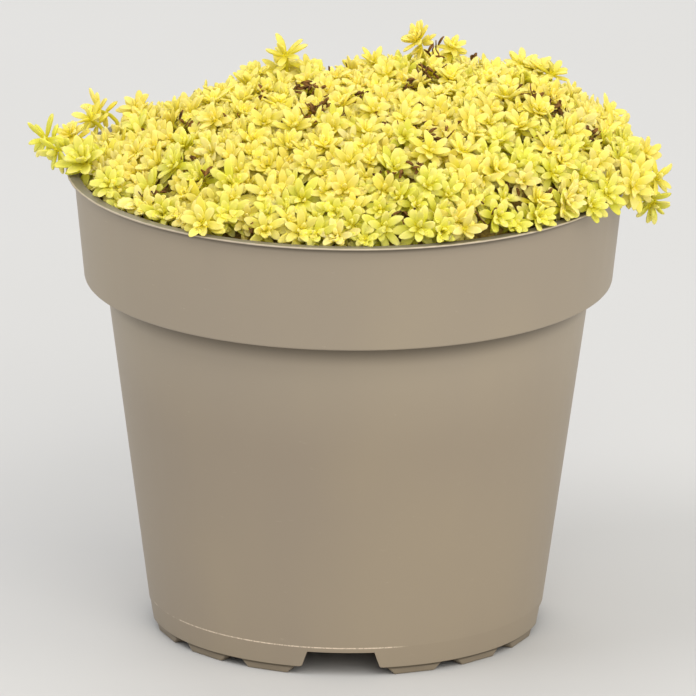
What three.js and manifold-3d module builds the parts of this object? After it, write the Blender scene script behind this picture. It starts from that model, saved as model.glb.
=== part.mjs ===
// Golden stonecrop in a round nursery pot: a moulded pot with a collar and feet, its compost, and a low
// cushion of creeping shoots. Each shoot ends in a rosette of plump leaves in two whorls, and shoots that
// share one rooted base make a tuft. Millimetres, +Z up, origin under the middle of the pot's feet, and
// -Y is the side that faces the viewer.
import * as THREE from "three";
import { mergeVertices } from "three/addons/utils/BufferGeometryUtils.js";
import Module from "manifold-3d";

const wasm = await Module();
wasm.setup();

// The pot: a 13 cm container with a straight collar, a thin turned-out lip and a skirt round its base.
const POT_HEIGHT = 108;
const WALL = 1.2;
const LIP_RADIUS = 65;
const LIP_THICKNESS = 1.1;
const EDGE_ROUND = 0.4;
const COLLAR_TOP_RADIUS = 63.3;
const COLLAR_FOOT_RADIUS = 60.7;
const LEDGE_Z = 82.6;
const BODY_TOP_RADIUS = 55.8;
const SKIRT_RADIUS = 45;
const SKIRT_Z = 2;
const FLOOR_Z = 6.2;
const POT_SIDES = 48;
const SOIL_SIDES = 24;

// Feet and cut-outs share sixteen places round the base: every fourth place is a cut-out in the skirt.
const BASE_PLACES = 16;
const CUT_EVERY = 4;
const BASE_TURN = THREE.MathUtils.degToRad(-1.4);
const CUT_TOP_Z = 5.9;
const CUT_TOP_WIDTH = 15.3;
const CUT_FOOT_WIDTH = 18.1;
const FOOT_OUTER_RADIUS = 44.2;
const FOOT_DEPTH = 2.8;
const FOOT_TOP_WIDTH = 13.5;
const FOOT_SOLE_WIDTH = 9.8;
const DRAIN_HOLES = 8;
const DRAIN_RADIUS = 3.5;
const DRAIN_CIRCLE = 32;
const DRAIN_SIDES = 8;

// The compost fills the pot to a little under its lip.
const SOIL_Z = 96;
const SEAT_GAP = 0.3;
const CLEAR_OF_POT = 0.6;

// The cushion of shoots, in plan and in height above the lip. It is fullest to the right and the back.
const CUSHION_RADIUS = 60.5;
const CUSHION_SPILL = 5;
const SPILL_ANGLE = THREE.MathUtils.degToRad(15);
const EDGE_HEIGHT = -2;
const EDGE_LIFT = 4;
const CROWN_HEIGHT = 14.6;
const CROWN_SLOPE = 0.06;
const SHOULDER_POWER = 3.4;
const SHOULDER_ROUND = 0.8;
const HOLLOWS = [
  { x: -40, y: 40, depth: 4.5, reach: 19 },
  { x: -6, y: 41, depth: 3.4, reach: 11 },
];
const LUMP_HEIGHT = 1.1;
const LUMP_PITCH = 17;

// Shoots and tufts.
const SHOOT_RINGS = { rings: 7, pitch: 9.1, edge: 0.955 };
const TUFT_RINGS = { rings: 3, pitch: 18, edge: 0.83 };
const PLACE_JITTER = 2.4;
const SPRIG_ROOM = 5.8;
const HEIGHT_JITTER = 1.6;
const UPRIGHT_SHARE = 0.2;
const LEAN_JITTER = 0.8;
const RING_TURN = 0.4;
const SMALLEST = 0.94;
const SIZE_SPREAD = 0.16;
const SIX_LEAVED_SHARE = 0.45;
const SEED = 20871;

// One rosette, at life size a little enlarged: how far each point of a leaf stands out from the axis and
// up along it. Valleys lie between the outer leaves, and the inner leaves stand above them.
const TIP = { out: 5.8, up: 1.5, lift: 1.5 };
const SIDE = { out: 3.95, up: 0.8, aside: 1.45 };
const RIDGE = { out: 2.5, up: 1.7 };
const VALLEY = { out: 1.45, up: -0.1 };
const INNER_TIP = { out: 2.8, up: 3.1 };
const HEART = 1.5;
const LEAF_SHORTEST = 0.4;
const LEAF_STEP = 0.06;
const STEM_TOP = -1.6;
const STEM_RADIUS = 0.9;
const STEM_SIDES = 3;
const STEM_BELOW = 5;
const CELL_MARGIN = 0.16;
const CELL_REACH = 4 * TIP.out;

// The dense lower stems of a tuft, which its shoots stand out of.
const CORE_DEPTH = 2.3;
const CORE_CROWN = 0.8;
const CORE_SHOULDER = 1.5;
const CORE_RADIUS = 59.6;
const CORE_SIDES = 24;
const CORE_SHORTEST_SIDE = 0.4;
const CORE_GAP = 0.4;
const CORE_STEM_MARGIN = 1.3;
const DRAW_IN = 0.08;

// Shoots that break out of the cushion: a head above it or past the lip, and the bends of the stem there.
const SPRIGS = [
  { head: [-14.9, 25, 18.6], lean: [-0.1, -0.25, 1], size: 1.05 },
  { head: [16, 27, 21.8], lean: [-0.4, -0.2, 1], size: 0.9 },
  { head: [24.5, 28, 19.5], lean: [0.15, -0.15, 1], size: 0.85 },
  { head: [39.5, 31, 14.5], lean: [0.2, -0.1, 1], size: 0.95 },
  { head: [50, 27, 13], lean: [0.6, 0, 1], size: 0.9 },
  { head: [-53, 33, 4.5], lean: [-0.5, 0.1, 1], size: 0.95 },
  { head: [-59.5, 22, 5], lean: [-0.8, 0, 0.7], size: 0.9 },
  { head: [-64.5, 11, 4.2], bends: [[-60.5, 10, 2.6]], lean: [-0.7, -0.2, 0.8], size: 0.85 },
  { head: [-70, 5, 4.2], bends: [[-62, 3, 3.1]], lean: [-0.9, -0.2, 0.45], size: 0.95 },
  { head: [-62.5, -5, 3.2], bends: [[-60, -4.5, 1.6]], lean: [-0.7, -0.6, 0.7], size: 0.95 },
  { head: [68, 1.5, 3.6], bends: [[61, 1, 3.4]], lean: [0.7, -0.3, 0.6], size: 0.95 },
  { head: [70.5, -8.5, 0.6], bends: [[62, -9, 2.6]], lean: [0.85, -0.4, 0.15], size: 0.95 },
  { head: [69.8, -9, -4.8], bends: [[69.4, -9, 0], [62, -9, 2.6]], lean: [0.6, -0.6, -0.4], size: 0.85 },
  { head: [65.5, -14.5, 2.4], bends: [[60, -12.5, 1.8]], lean: [0.6, -0.8, 0.5], size: 0.95 },
  { head: [58.5, -27, 2.2], lean: [0.6, -0.8, 0.6], size: 0.95 },
];

const UP = new THREE.Vector3(0, 0, 1);

// Repeatable random numbers from 0 to 1.
function randomFrom(seed) {
  let state = seed >>> 0;
  return () => {
    state = (state + 0x6d2b79f5) >>> 0;
    let t = state;
    t = Math.imul(t ^ (t >>> 15), t | 1);
    t ^= t + Math.imul(t ^ (t >>> 7), t | 61);
    return ((t ^ (t >>> 14)) >>> 0) / 4294967296;
  };
}

// A closed geometry as a solid for joining and cutting.
function solidFrom(geometry) {
  const bare = new THREE.BufferGeometry().setAttribute("position", geometry.getAttribute("position"));
  if (geometry.index) bare.setIndex(geometry.index);
  const merged = mergeVertices(bare, 1e-4);
  return new wasm.Manifold(
    new wasm.Mesh({
      numProp: 3,
      vertProperties: new Float32Array(merged.attributes.position.array),
      triVerts: new Uint32Array(merged.index.array),
    }),
  );
}

// A joined or cut solid back as a geometry.
function geometryFrom(solid) {
  const mesh = solid.getMesh();
  const points = new Float32Array(mesh.numVert * 3);
  for (let i = 0; i < mesh.numVert; i++) {
    points.set(mesh.vertProperties.subarray(i * mesh.numProp, i * mesh.numProp + 3), i * 3);
  }
  return new THREE.BufferGeometry()
    .setAttribute("position", new THREE.BufferAttribute(points, 3))
    .setIndex(new THREE.BufferAttribute(mesh.triVerts, 1));
}

// A profile of [radius, z] pairs turned about the vertical axis.
function turned(profile, sides) {
  const points = profile.map(([r, z]) => new THREE.Vector2(r, z));
  return new THREE.LatheGeometry(points, sides).rotateX(Math.PI / 2);
}

// A flat outline of [across, z] pairs, pushed outwards from one radius to another at an angle round the
// base. Angle 0 faces the viewer.
function radialBlock(outline, innerRadius, outerRadius, angle) {
  const shape = new THREE.Shape(outline.map(([x, z]) => new THREE.Vector2(x, z)));
  return new THREE.ExtrudeGeometry(shape, { depth: outerRadius - innerRadius, bevelEnabled: false })
    .rotateX(Math.PI / 2)
    .translate(0, -innerRadius, 0)
    .rotateZ(angle);
}

// Radius of the body's outside at a height.
function bodyRadius(z) {
  return SKIRT_RADIUS + ((BODY_TOP_RADIUS - SKIRT_RADIUS) * (z - SKIRT_Z)) / (LEDGE_Z - SKIRT_Z);
}

// Radius of the collar's inside at a height.
function collarInside(z) {
  const share = (z - LEDGE_Z) / (POT_HEIGHT - LEDGE_Z);
  return COLLAR_FOOT_RADIUS + (COLLAR_TOP_RADIUS - COLLAR_FOOT_RADIUS) * share - WALL;
}

function potGeometry() {
  const ledgeTop = LEDGE_Z + WALL;
  const profile = [
    [0, FLOOR_Z],
    [SKIRT_RADIUS - WALL, FLOOR_Z],
    [SKIRT_RADIUS - WALL, SKIRT_Z],
    [SKIRT_RADIUS, SKIRT_Z],
    [BODY_TOP_RADIUS, LEDGE_Z],
    [COLLAR_FOOT_RADIUS - EDGE_ROUND, LEDGE_Z],
    [COLLAR_FOOT_RADIUS, LEDGE_Z + EDGE_ROUND],
    [COLLAR_TOP_RADIUS, POT_HEIGHT - LIP_THICKNESS - EDGE_ROUND],
    [LIP_RADIUS - EDGE_ROUND / 2, POT_HEIGHT - LIP_THICKNESS],
    [LIP_RADIUS, POT_HEIGHT - LIP_THICKNESS / 2],
    [LIP_RADIUS - EDGE_ROUND, POT_HEIGHT],
    [collarInside(POT_HEIGHT) + EDGE_ROUND, POT_HEIGHT],
    [collarInside(ledgeTop), ledgeTop],
    [bodyRadius(ledgeTop) - WALL, ledgeTop],
    [bodyRadius(FLOOR_Z + WALL) - WALL, FLOOR_Z + WALL],
    [0, FLOOR_Z + WALL],
  ];
  let pot = solidFrom(turned(profile, POT_SIDES));
  for (let place = 0; place < BASE_PLACES; place++) {
    const angle = BASE_TURN + (place * 2 * Math.PI) / BASE_PLACES;
    pot = place % CUT_EVERY === 0 ? pot.subtract(skirtCut(angle)) : pot.add(foot(angle));
  }
  for (let hole = 0; hole < DRAIN_HOLES; hole++) {
    pot = pot.subtract(drainBore(((hole + 0.5) * 2 * Math.PI) / DRAIN_HOLES));
  }
  return geometryFrom(pot);
}

// The cutter of one gap in the skirt. It starts below the skirt, where its sloping sides stand wider.
function skirtCut(angle) {
  const below = SKIRT_Z;
  const widening = ((CUT_FOOT_WIDTH - CUT_TOP_WIDTH) * below) / (CUT_TOP_Z - SKIRT_Z);
  const footHalf = (CUT_FOOT_WIDTH + widening) / 2;
  const outline = [
    [-footHalf, SKIRT_Z - below],
    [footHalf, SKIRT_Z - below],
    [CUT_TOP_WIDTH / 2, CUT_TOP_Z],
    [-CUT_TOP_WIDTH / 2, CUT_TOP_Z],
  ];
  return solidFrom(radialBlock(outline, SKIRT_RADIUS - 3 * WALL, SKIRT_RADIUS + 3 * WALL, angle));
}

function drainBore(angle) {
  const bore = new THREE.CylinderGeometry(DRAIN_RADIUS, DRAIN_RADIUS, 4 * WALL, DRAIN_SIDES)
    .rotateX(Math.PI / 2)
    .translate(DRAIN_CIRCLE, 0, FLOOR_Z + WALL / 2)
    .rotateZ(angle);
  return solidFrom(bore);
}

function foot(angle) {
  const outline = [
    [-FOOT_SOLE_WIDTH / 2, 0],
    [FOOT_SOLE_WIDTH / 2, 0],
    [FOOT_TOP_WIDTH / 2, SKIRT_Z],
    [FOOT_TOP_WIDTH / 2, FLOOR_Z + WALL / 2],
    [-FOOT_TOP_WIDTH / 2, FLOOR_Z + WALL / 2],
    [-FOOT_TOP_WIDTH / 2, SKIRT_Z],
  ];
  return solidFrom(radialBlock(outline, FOOT_OUTER_RADIUS - FOOT_DEPTH, FOOT_OUTER_RADIUS, angle));
}

function soilGeometry() {
  const floor = FLOOR_Z + WALL + SEAT_GAP;
  const ledge = LEDGE_Z + WALL + SEAT_GAP;
  const inset = WALL + SEAT_GAP;
  return turned(
    [
      [0, floor],
      [bodyRadius(floor) - inset, floor],
      [bodyRadius(ledge) - inset, ledge],
      [collarInside(ledge) - SEAT_GAP, ledge],
      [collarInside(SOIL_Z) - SEAT_GAP, SOIL_Z],
      [0, SOIL_Z],
    ],
    SOIL_SIDES,
  );
}

// How full the cushion is towards an angle: 1 where it spills furthest, 0 opposite.
function fullness(angle) {
  return (0.5 + 0.5 * Math.cos(angle - SPILL_ANGLE)) ** 2;
}

function cushionRadius(angle) {
  return CUSHION_RADIUS + CUSHION_SPILL * fullness(angle);
}

// Height of the cushion's surface at a place.
function cushionZ(x, y) {
  const angle = Math.atan2(y, x);
  const share = Math.min(Math.hypot(x, y) / cushionRadius(angle), 1);
  const edge = (EDGE_HEIGHT + EDGE_LIFT * fullness(angle)) * share ** 2;
  const crown = (CROWN_HEIGHT + CROWN_SLOPE * x) * (1 - share ** SHOULDER_POWER) ** SHOULDER_ROUND;
  const sunk = (h) => h.depth * Math.exp(-(((x - h.x) ** 2 + (y - h.y) ** 2) / h.reach ** 2));
  const hollow = HOLLOWS.reduce((sum, h) => sum + sunk(h), 0);
  const turn = (2 * Math.PI) / LUMP_PITCH;
  const lump = LUMP_HEIGHT * Math.cos(turn * (x + 0.3 * y)) * Math.cos(turn * (y - 0.3 * x));
  return POT_HEIGHT + edge + crown - hollow + lump * (1 - share ** 4);
}

// Outward direction of the cushion's surface, part way turned up, as shoots grow.
function growthDirection(x, y) {
  const step = 1;
  const slopeX = (cushionZ(x + step, y) - cushionZ(x - step, y)) / (2 * step);
  const slopeY = (cushionZ(x, y + step) - cushionZ(x, y - step)) / (2 * step);
  return new THREE.Vector3(-slopeX, -slopeY, 1).normalize().addScaledVector(UP, UPRIGHT_SHARE).normalize();
}

// Places on the cushion in rings about its middle, each ring a little turned against the next.
function ringPlaces({ rings, pitch, edge }) {
  return Array.from({ length: rings + 1 }, (_, ring) => {
    const share = (edge * ring) / rings;
    const count = Math.max(1, Math.round((2 * Math.PI * share * CUSHION_RADIUS) / pitch));
    return Array.from({ length: count }, (_, k) => {
      const angle = ((k + RING_TURN * ring) * 2 * Math.PI) / count;
      const radius = share * cushionRadius(angle);
      return new THREE.Vector2(radius * Math.cos(angle), radius * Math.sin(angle));
    });
  }).flat();
}

// Every shoot: where its head is, the way it faces, and the bends of its stem.
function plantShoots() {
  const random = randomFrom(SEED);
  const shoots = SPRIGS.map((sprig) => ({
    head: new THREE.Vector3(sprig.head[0], sprig.head[1], POT_HEIGHT + sprig.head[2]),
    bends: (sprig.bends ?? []).map(([x, y, z]) => new THREE.Vector3(x, y, POT_HEIGHT + z)),
    axis: new THREE.Vector3(...sprig.lean).normalize(),
    size: sprig.size,
    leaves: 6,
    turn: random() * Math.PI,
  }));
  const sprigs = [...shoots];
  const crowded = (place) =>
    sprigs.some((s) => Math.hypot(s.head.x - place.x, s.head.y - place.y) < SPRIG_ROOM);
  for (const place of ringPlaces(SHOOT_RINGS)) {
    place.x += (random() - 0.5) * PLACE_JITTER;
    place.y += (random() - 0.5) * PLACE_JITTER;
    const lift = (random() - 0.5) * HEIGHT_JITTER;
    const axis = growthDirection(place.x, place.y);
    axis.add(new THREE.Vector3(random() - 0.5, random() - 0.5, 0).multiplyScalar(LEAN_JITTER)).normalize();
    const shoot = {
      head: new THREE.Vector3(place.x, place.y, cushionZ(place.x, place.y) + lift),
      bends: [],
      axis,
      size: SMALLEST + SIZE_SPREAD * random(),
      leaves: random() < SIX_LEAVED_SHARE ? 6 : 5,
      turn: random() * Math.PI,
    };
    if (!crowded(place)) shoots.push(shoot);
  }
  return shoots;
}

// Whether a point is inside the pot's wall or lip, with some room round them.
function meetsPot(p) {
  if (p.z > POT_HEIGHT + CLEAR_OF_POT) return false;
  const radius = Math.hypot(p.x, p.y);
  const inside = collarInside(p.z) - CLEAR_OF_POT;
  return radius > inside && radius < LIP_RADIUS + CLEAR_OF_POT;
}

// Whether a point is nearer to its own shoot's head than to any other head.
function inOwnCell(p, shoot, neighbours) {
  return neighbours.every((other) => {
    const toOther = other.head.clone().sub(shoot.head);
    const middle = other.head.clone().add(shoot.head).multiplyScalar(0.5);
    return p.clone().sub(middle).dot(toOther.normalize()) < -CELL_MARGIN;
  });
}

// One shoot as a closed mesh: an outer whorl of spread leaves with rounded sides, an inner whorl of
// ascending ones between them, and a three-sided stem from the rosette's underside to the tuft's core.
function shootGeometry(shoot, root, neighbours) {
  const across = new THREE.Vector3().crossVectors(shoot.axis, new THREE.Vector3(0.3, 1, 0.1)).normalize();
  const along = new THREE.Vector3().crossVectors(shoot.axis, across);
  const at = (radius, angle, rise, aside = 0) =>
    shoot.head
      .clone()
      .addScaledVector(across, (radius * Math.cos(angle) - aside * Math.sin(angle)) * shoot.size)
      .addScaledVector(along, (radius * Math.sin(angle) + aside * Math.cos(angle)) * shoot.size)
      .addScaledVector(shoot.axis, rise * shoot.size);
  const clear = (p) => !meetsPot(p) && inOwnCell(p, shoot, neighbours);
  const reach = (place) => {
    for (let share = 1; share > LEAF_SHORTEST; share -= LEAF_STEP) {
      if (place(share).every(clear)) return share;
    }
    return LEAF_SHORTEST;
  };

  const points = [];
  const put = (p) => points.push(p) - 1;
  const faces = [];
  const step = (2 * Math.PI) / shoot.leaves;
  const ring = [];
  const ringAngles = [];
  const valleys = [];
  const ridges = [];
  const peaks = [];
  for (let i = 0; i < shoot.leaves; i++) {
    const angle = shoot.turn + i * step;
    const valleyAngle = angle - step / 2;
    const outer = (share) => [
      at(SIDE.out * share, angle, SIDE.up, -SIDE.aside * Math.sqrt(share)),
      at(TIP.out * share, angle, TIP.up + TIP.lift * (1 - share)),
      at(SIDE.out * share, angle, SIDE.up, SIDE.aside * Math.sqrt(share)),
    ];
    const inner = (share) => [at(INNER_TIP.out * share, valleyAngle, INNER_TIP.up)];
    const [left, tip, right] = outer(reach(outer));
    valleys.push(put(at(VALLEY.out, valleyAngle, VALLEY.up)));
    ring.push(valleys[i], put(left), put(tip), put(right));
    ringAngles.push(valleyAngle, angle - step / 4, angle, angle + step / 4);
    ridges.push(put(at(RIDGE.out, angle, RIDGE.up)));
    peaks.push(put(inner(reach(inner))[0]));
  }
  const heart = put(at(0, 0, HEART));
  for (let i = 0; i < shoot.leaves; i++) {
    const next = (i + 1) % shoot.leaves;
    const before = (i + shoot.leaves - 1) % shoot.leaves;
    const [left, tip, right] = [ring[4 * i + 1], ring[4 * i + 2], ring[4 * i + 3]];
    faces.push([valleys[i], left, ridges[i]], [left, tip, ridges[i]], [tip, right, ridges[i]]);
    faces.push([right, valleys[next], ridges[i]]);
    faces.push([valleys[i], ridges[i], peaks[i]], [ridges[before], valleys[i], peaks[i]]);
    faces.push([peaks[i], ridges[i], peaks[next]], [heart, peaks[i], peaks[next]]);
  }

  const stemRings = [at(0, 0, STEM_TOP), ...shoot.bends, root].map((centre, level, path) => {
    const up = level === 0 ? shoot.axis : path[level - 1].clone().sub(centre).normalize();
    const side = across.clone().addScaledVector(up, -across.dot(up)).normalize();
    const front = new THREE.Vector3().crossVectors(up, side);
    return Array.from({ length: STEM_SIDES }, (_, j) => {
      const angle = shoot.turn + (j * 2 * Math.PI) / STEM_SIDES;
      return put(
        centre
          .clone()
          .addScaledVector(side, STEM_RADIUS * Math.cos(angle))
          .addScaledVector(front, STEM_RADIUS * Math.sin(angle)),
      );
    });
  });
  const sideOf = (angle) => Math.round(((angle - shoot.turn) * STEM_SIDES) / (2 * Math.PI));
  const top = stemRings[0];
  for (let i = 0; i < ring.length; i++) {
    const next = (i + 1) % ring.length;
    const here = sideOf(ringAngles[i]);
    const there = sideOf(ringAngles[next] + (next === 0 ? 2 * Math.PI : 0));
    const nth = (j) => top[((j % STEM_SIDES) + STEM_SIDES) % STEM_SIDES];
    faces.push([ring[next], ring[i], nth(here)]);
    if (there !== here) faces.push([ring[next], nth(here), nth(there)]);
  }
  for (let level = 1; level < stemRings.length; level++) {
    const [upper, lower] = [stemRings[level - 1], stemRings[level]];
    for (let j = 0; j < STEM_SIDES; j++) {
      const next = (j + 1) % STEM_SIDES;
      faces.push([upper[next], upper[j], lower[j]], [upper[next], lower[j], lower[next]]);
    }
  }
  faces.push([...stemRings.at(-1)].reverse());

  return new THREE.BufferGeometry()
    .setAttribute("position", new THREE.Float32BufferAttribute(points.flatMap((p) => p.toArray()), 3))
    .setIndex(faces.flat());
}

// The part of a convex outline on the near side of a line through a point, seen along the line's normal.
function clipped(outline, point, normal) {
  const side = (p) => (p.x - point.x) * normal.x + (p.y - point.y) * normal.y;
  const kept = [];
  outline.forEach((p, i) => {
    const q = outline[(i + 1) % outline.length];
    const [a, b] = [side(p), side(q)];
    if (a <= 0) kept.push(p);
    if (a < 0 !== b < 0) kept.push(p.clone().lerp(q, a / (a - b)));
  });
  return kept;
}

// The ground that a tuft covers: the places nearer to its centre than to any other tuft's.
function tuftOutline(centre, centres) {
  let outline = Array.from({ length: CORE_SIDES }, (_, i) => {
    const angle = (i * 2 * Math.PI) / CORE_SIDES;
    return new THREE.Vector2(CORE_RADIUS * Math.cos(angle), CORE_RADIUS * Math.sin(angle));
  });
  for (const other of centres) {
    if (other === centre) continue;
    const normal = other.clone().sub(centre).normalize();
    const middle = other.clone().add(centre).multiplyScalar(0.5).addScaledVector(normal, -CORE_GAP / 2);
    outline = clipped(outline, middle, normal);
  }
  return outline.filter((p, i) => p.distanceTo(outline[(i + 1) % outline.length]) > CORE_SHORTEST_SIDE);
}

function middleOf(outline) {
  return outline.reduce((sum, p) => sum.add(p), new THREE.Vector2()).divideScalar(outline.length);
}

// The closely packed lower stems of a tuft, from the compost up to just under its rosettes.
function coreGeometry(outline) {
  const centre = middleOf(outline);
  const points = [];
  const put = (x, y, z) => points.push(x, y, z) / 3 - 1;
  const foot = SOIL_Z + SEAT_GAP;
  const lower = outline.map((p) => put(p.x, p.y, foot));
  const upper = outline.map((p) => put(p.x, p.y, cushionZ(p.x, p.y) - CORE_DEPTH - CORE_SHOULDER));
  const crown = put(centre.x, centre.y, cushionZ(centre.x, centre.y) - CORE_DEPTH + CORE_CROWN);
  const faces = [];
  outline.forEach((_, i) => {
    const next = (i + 1) % outline.length;
    faces.push(lower[i], lower[next], upper[next], lower[i], upper[next], upper[i]);
    faces.push(upper[i], upper[next], crown);
    if (i > 1) faces.push(lower[0], lower[i], lower[i - 1]);
  });
  return new THREE.BufferGeometry()
    .setAttribute("position", new THREE.Float32BufferAttribute(points, 3))
    .setIndex(faces);
}

// Where a shoot's stem is rooted in its tuft's core: below its head, drawn in until it is well inside.
function rootOf(shoot, outline) {
  const centre = middleOf(outline);
  const from = shoot.bends.length ? shoot.bends.at(-1).clone() : shoot.head.clone();
  const down = shoot.bends.length ? UP : shoot.axis;
  const root = from.addScaledVector(down, -STEM_BELOW);
  const inside = (p) =>
    outline.every((a, i) => {
      const b = outline[(i + 1) % outline.length];
      const edge = b.clone().sub(a).normalize();
      return edge.x * (p.y - a.y) - edge.y * (p.x - a.x) > CORE_STEM_MARGIN;
    });
  while (!inside(root)) {
    root.x += (centre.x - root.x) * DRAW_IN;
    root.y += (centre.y - root.y) * DRAW_IN;
  }
  root.z = Math.min(root.z, cushionZ(root.x, root.y) - CORE_DEPTH - 2 * CORE_SHOULDER);
  return root;
}

function tuftGeometries(shoots) {
  const centres = ringPlaces(TUFT_RINGS);
  const members = centres.map(() => []);
  for (const shoot of shoots) {
    const gaps = centres.map((c) => Math.hypot(c.x - shoot.head.x, c.y - shoot.head.y));
    members[gaps.indexOf(Math.min(...gaps))].push(shoot);
  }
  return centres.map((centre, i) => {
    const outline = tuftOutline(centre, centres);
    let tuft = solidFrom(coreGeometry(outline));
    for (const shoot of members[i]) {
      const near = shoots.filter((s) => s !== shoot && s.head.distanceTo(shoot.head) < CELL_REACH);
      tuft = tuft.add(solidFrom(shootGeometry(shoot, rootOf(shoot, outline), near)));
    }
    return geometryFrom(tuft);
  });
}

function pieceOf(name, geometry, material) {
  const mesh = new THREE.Mesh(geometry, material);
  mesh.name = name;
  return mesh;
}

const potMaterial = new THREE.MeshStandardMaterial({ color: 0x998a76, roughness: 0.6, metalness: 0 });
const soilMaterial = new THREE.MeshStandardMaterial({ color: 0x3b2c20, roughness: 1, metalness: 0 });
const leafMaterial = new THREE.MeshStandardMaterial({ color: 0xe6da4f, roughness: 0.5, metalness: 0 });

const plant = new THREE.Group();
tuftGeometries(plantShoots()).forEach((geometry, i) => {
  plant.add(pieceOf(`tuft_${String(i + 1).padStart(2, "0")}`, geometry, leafMaterial));
});

const stonecrop = new THREE.Group();
stonecrop.add(pieceOf("pot", potGeometry(), potMaterial));
stonecrop.add(pieceOf("soil", soilGeometry(), soilMaterial));
stonecrop.add(plant);

export default stonecrop;
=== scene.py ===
"""The looks of a golden stonecrop in its nursery pot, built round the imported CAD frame.

A moulded taupe pot, its compost, a mat of old stems, and the shoots of the plant with their rosettes of
plump leaves. Sizes in the classes are millimetres, and each finished mesh is turned into metres.
"""
import logging
import math
from collections.abc import Iterable, Sequence
from dataclasses import dataclass, field
from enum import Enum
from typing import Union

import bmesh
import bpy
from bmesh.types import BMEdge, BMesh, BMVert
from bpy.types import Material, Mesh, NodeSocket, Object
from mathutils import Matrix, Vector, noise
from mathutils.geometry import interpolate_bezier


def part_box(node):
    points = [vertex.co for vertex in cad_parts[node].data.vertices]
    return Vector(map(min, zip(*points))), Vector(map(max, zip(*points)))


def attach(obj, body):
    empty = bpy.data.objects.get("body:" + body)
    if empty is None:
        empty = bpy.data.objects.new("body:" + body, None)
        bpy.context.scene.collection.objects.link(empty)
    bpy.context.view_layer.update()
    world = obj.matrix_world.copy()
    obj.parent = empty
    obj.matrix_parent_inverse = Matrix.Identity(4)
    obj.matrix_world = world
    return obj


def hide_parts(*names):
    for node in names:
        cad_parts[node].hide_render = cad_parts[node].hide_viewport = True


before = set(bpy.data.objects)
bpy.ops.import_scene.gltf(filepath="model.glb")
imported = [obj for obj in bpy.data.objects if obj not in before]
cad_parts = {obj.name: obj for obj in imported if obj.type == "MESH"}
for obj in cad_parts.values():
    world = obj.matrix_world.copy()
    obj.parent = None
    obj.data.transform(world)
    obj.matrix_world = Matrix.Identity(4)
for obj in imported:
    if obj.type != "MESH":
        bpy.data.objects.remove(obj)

LOG = logging.getLogger("stonecrop")
MM = 0.001
ROOT = "root"
UP = Vector((0, 0, 1))
FULL_TURN = 2 * math.pi
TINY = 1e-3

Colour = tuple[float, float, float]
Point = tuple[float, float, float]
Number = Union["Wire", float]


def linear(colour: Colour) -> tuple[float, float, float, float]:
    """Turns a screen's colour, 0 to 255, into linear light with a full alpha."""
    parts = [c / 255 for c in colour]
    red, green, blue = [p / 12.92 if p <= 0.04045 else ((p + 0.055) / 1.055) ** 2.4 for p in parts]
    return red, green, blue, 1.0


def between(first: float, last: float, share: float) -> float:
    """Gives the value that lies a share of the way from first to last."""
    return first + (last - first) * share


class Draw:
    """Repeatable random numbers from 0 to 1, in the same run as the CAD source draws them."""

    WORD = 0xFFFFFFFF
    STRIDE = 0x6D2B79F5

    def __init__(self, seed: int) -> None:
        """Starts the run of numbers at a seed."""
        self.state = seed & self.WORD

    def __call__(self) -> float:
        """Gives the next number."""
        self.state = (self.state + self.STRIDE) & self.WORD
        mixed = ((self.state ^ (self.state >> 15)) * (self.state | 1)) & self.WORD
        mixed ^= (mixed + (((mixed ^ (mixed >> 7)) * (mixed | 61)) & self.WORD)) & self.WORD
        return ((mixed ^ (mixed >> 14)) & self.WORD) / (self.WORD + 1)

    def spread(self, size: float) -> float:
        """Gives a number from -size to size."""
        return (2 * self() - 1) * size

    def lean(self, x: float, y: float, z: float, rise: float = 0.0) -> Vector:
        """Gives a random vector of those half sizes, raised by rise."""
        return Vector((self.spread(x), self.spread(y), rise + self.spread(z) if z else rise))

    def pick(self, choices: Sequence) -> object:
        """Gives one of the choices."""
        return choices[min(int(self() * len(choices)), len(choices) - 1)]


# Materials


class Wire:
    """An output of a shader node. Plain arithmetic on it adds Math nodes."""

    def __init__(self, shade: "Shade", socket: NodeSocket) -> None:
        """Keeps the output and the node tree that it belongs to."""
        self.shade = shade
        self.socket = socket

    def _math(self, operation: str, first: Number, second: Number) -> "Wire":
        """Adds one Math node on two values."""
        return self.shade.node("ShaderNodeMath", {"operation": operation}, {0: first, 1: second})

    def __add__(self, other: Number) -> "Wire":
        """Adds another value."""
        return self._math("ADD", self, other)

    def __sub__(self, other: Number) -> "Wire":
        """Takes another value away."""
        return self._math("SUBTRACT", self, other)

    def __rsub__(self, other: Number) -> "Wire":
        """Takes this value away from another."""
        return self._math("SUBTRACT", other, self)

    def __mul__(self, other: Number) -> "Wire":
        """Multiplies by another value."""
        return self._math("MULTIPLY", self, other)

    __radd__ = __add__
    __rmul__ = __mul__

    def size(self) -> "Wire":
        """Gives the value without its sign."""
        return self._math("ABSOLUTE", self, 0.0)

    def rise(self, low: float, high: float) -> "Wire":
        """Gives 0 at low and 1 at high, with a smooth rise between, or a fall where high is below low."""
        settings = {"interpolation_type": "SMOOTHSTEP"}
        return self.shade.node("ShaderNodeMapRange", settings, {"Value": self, "From Min": low, "From Max": high})

    def rise_mm(self, low: float, high: float) -> "Wire":
        """Gives the same rise between two lengths in millimetres."""
        return self.rise(low * MM, high * MM)


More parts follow.
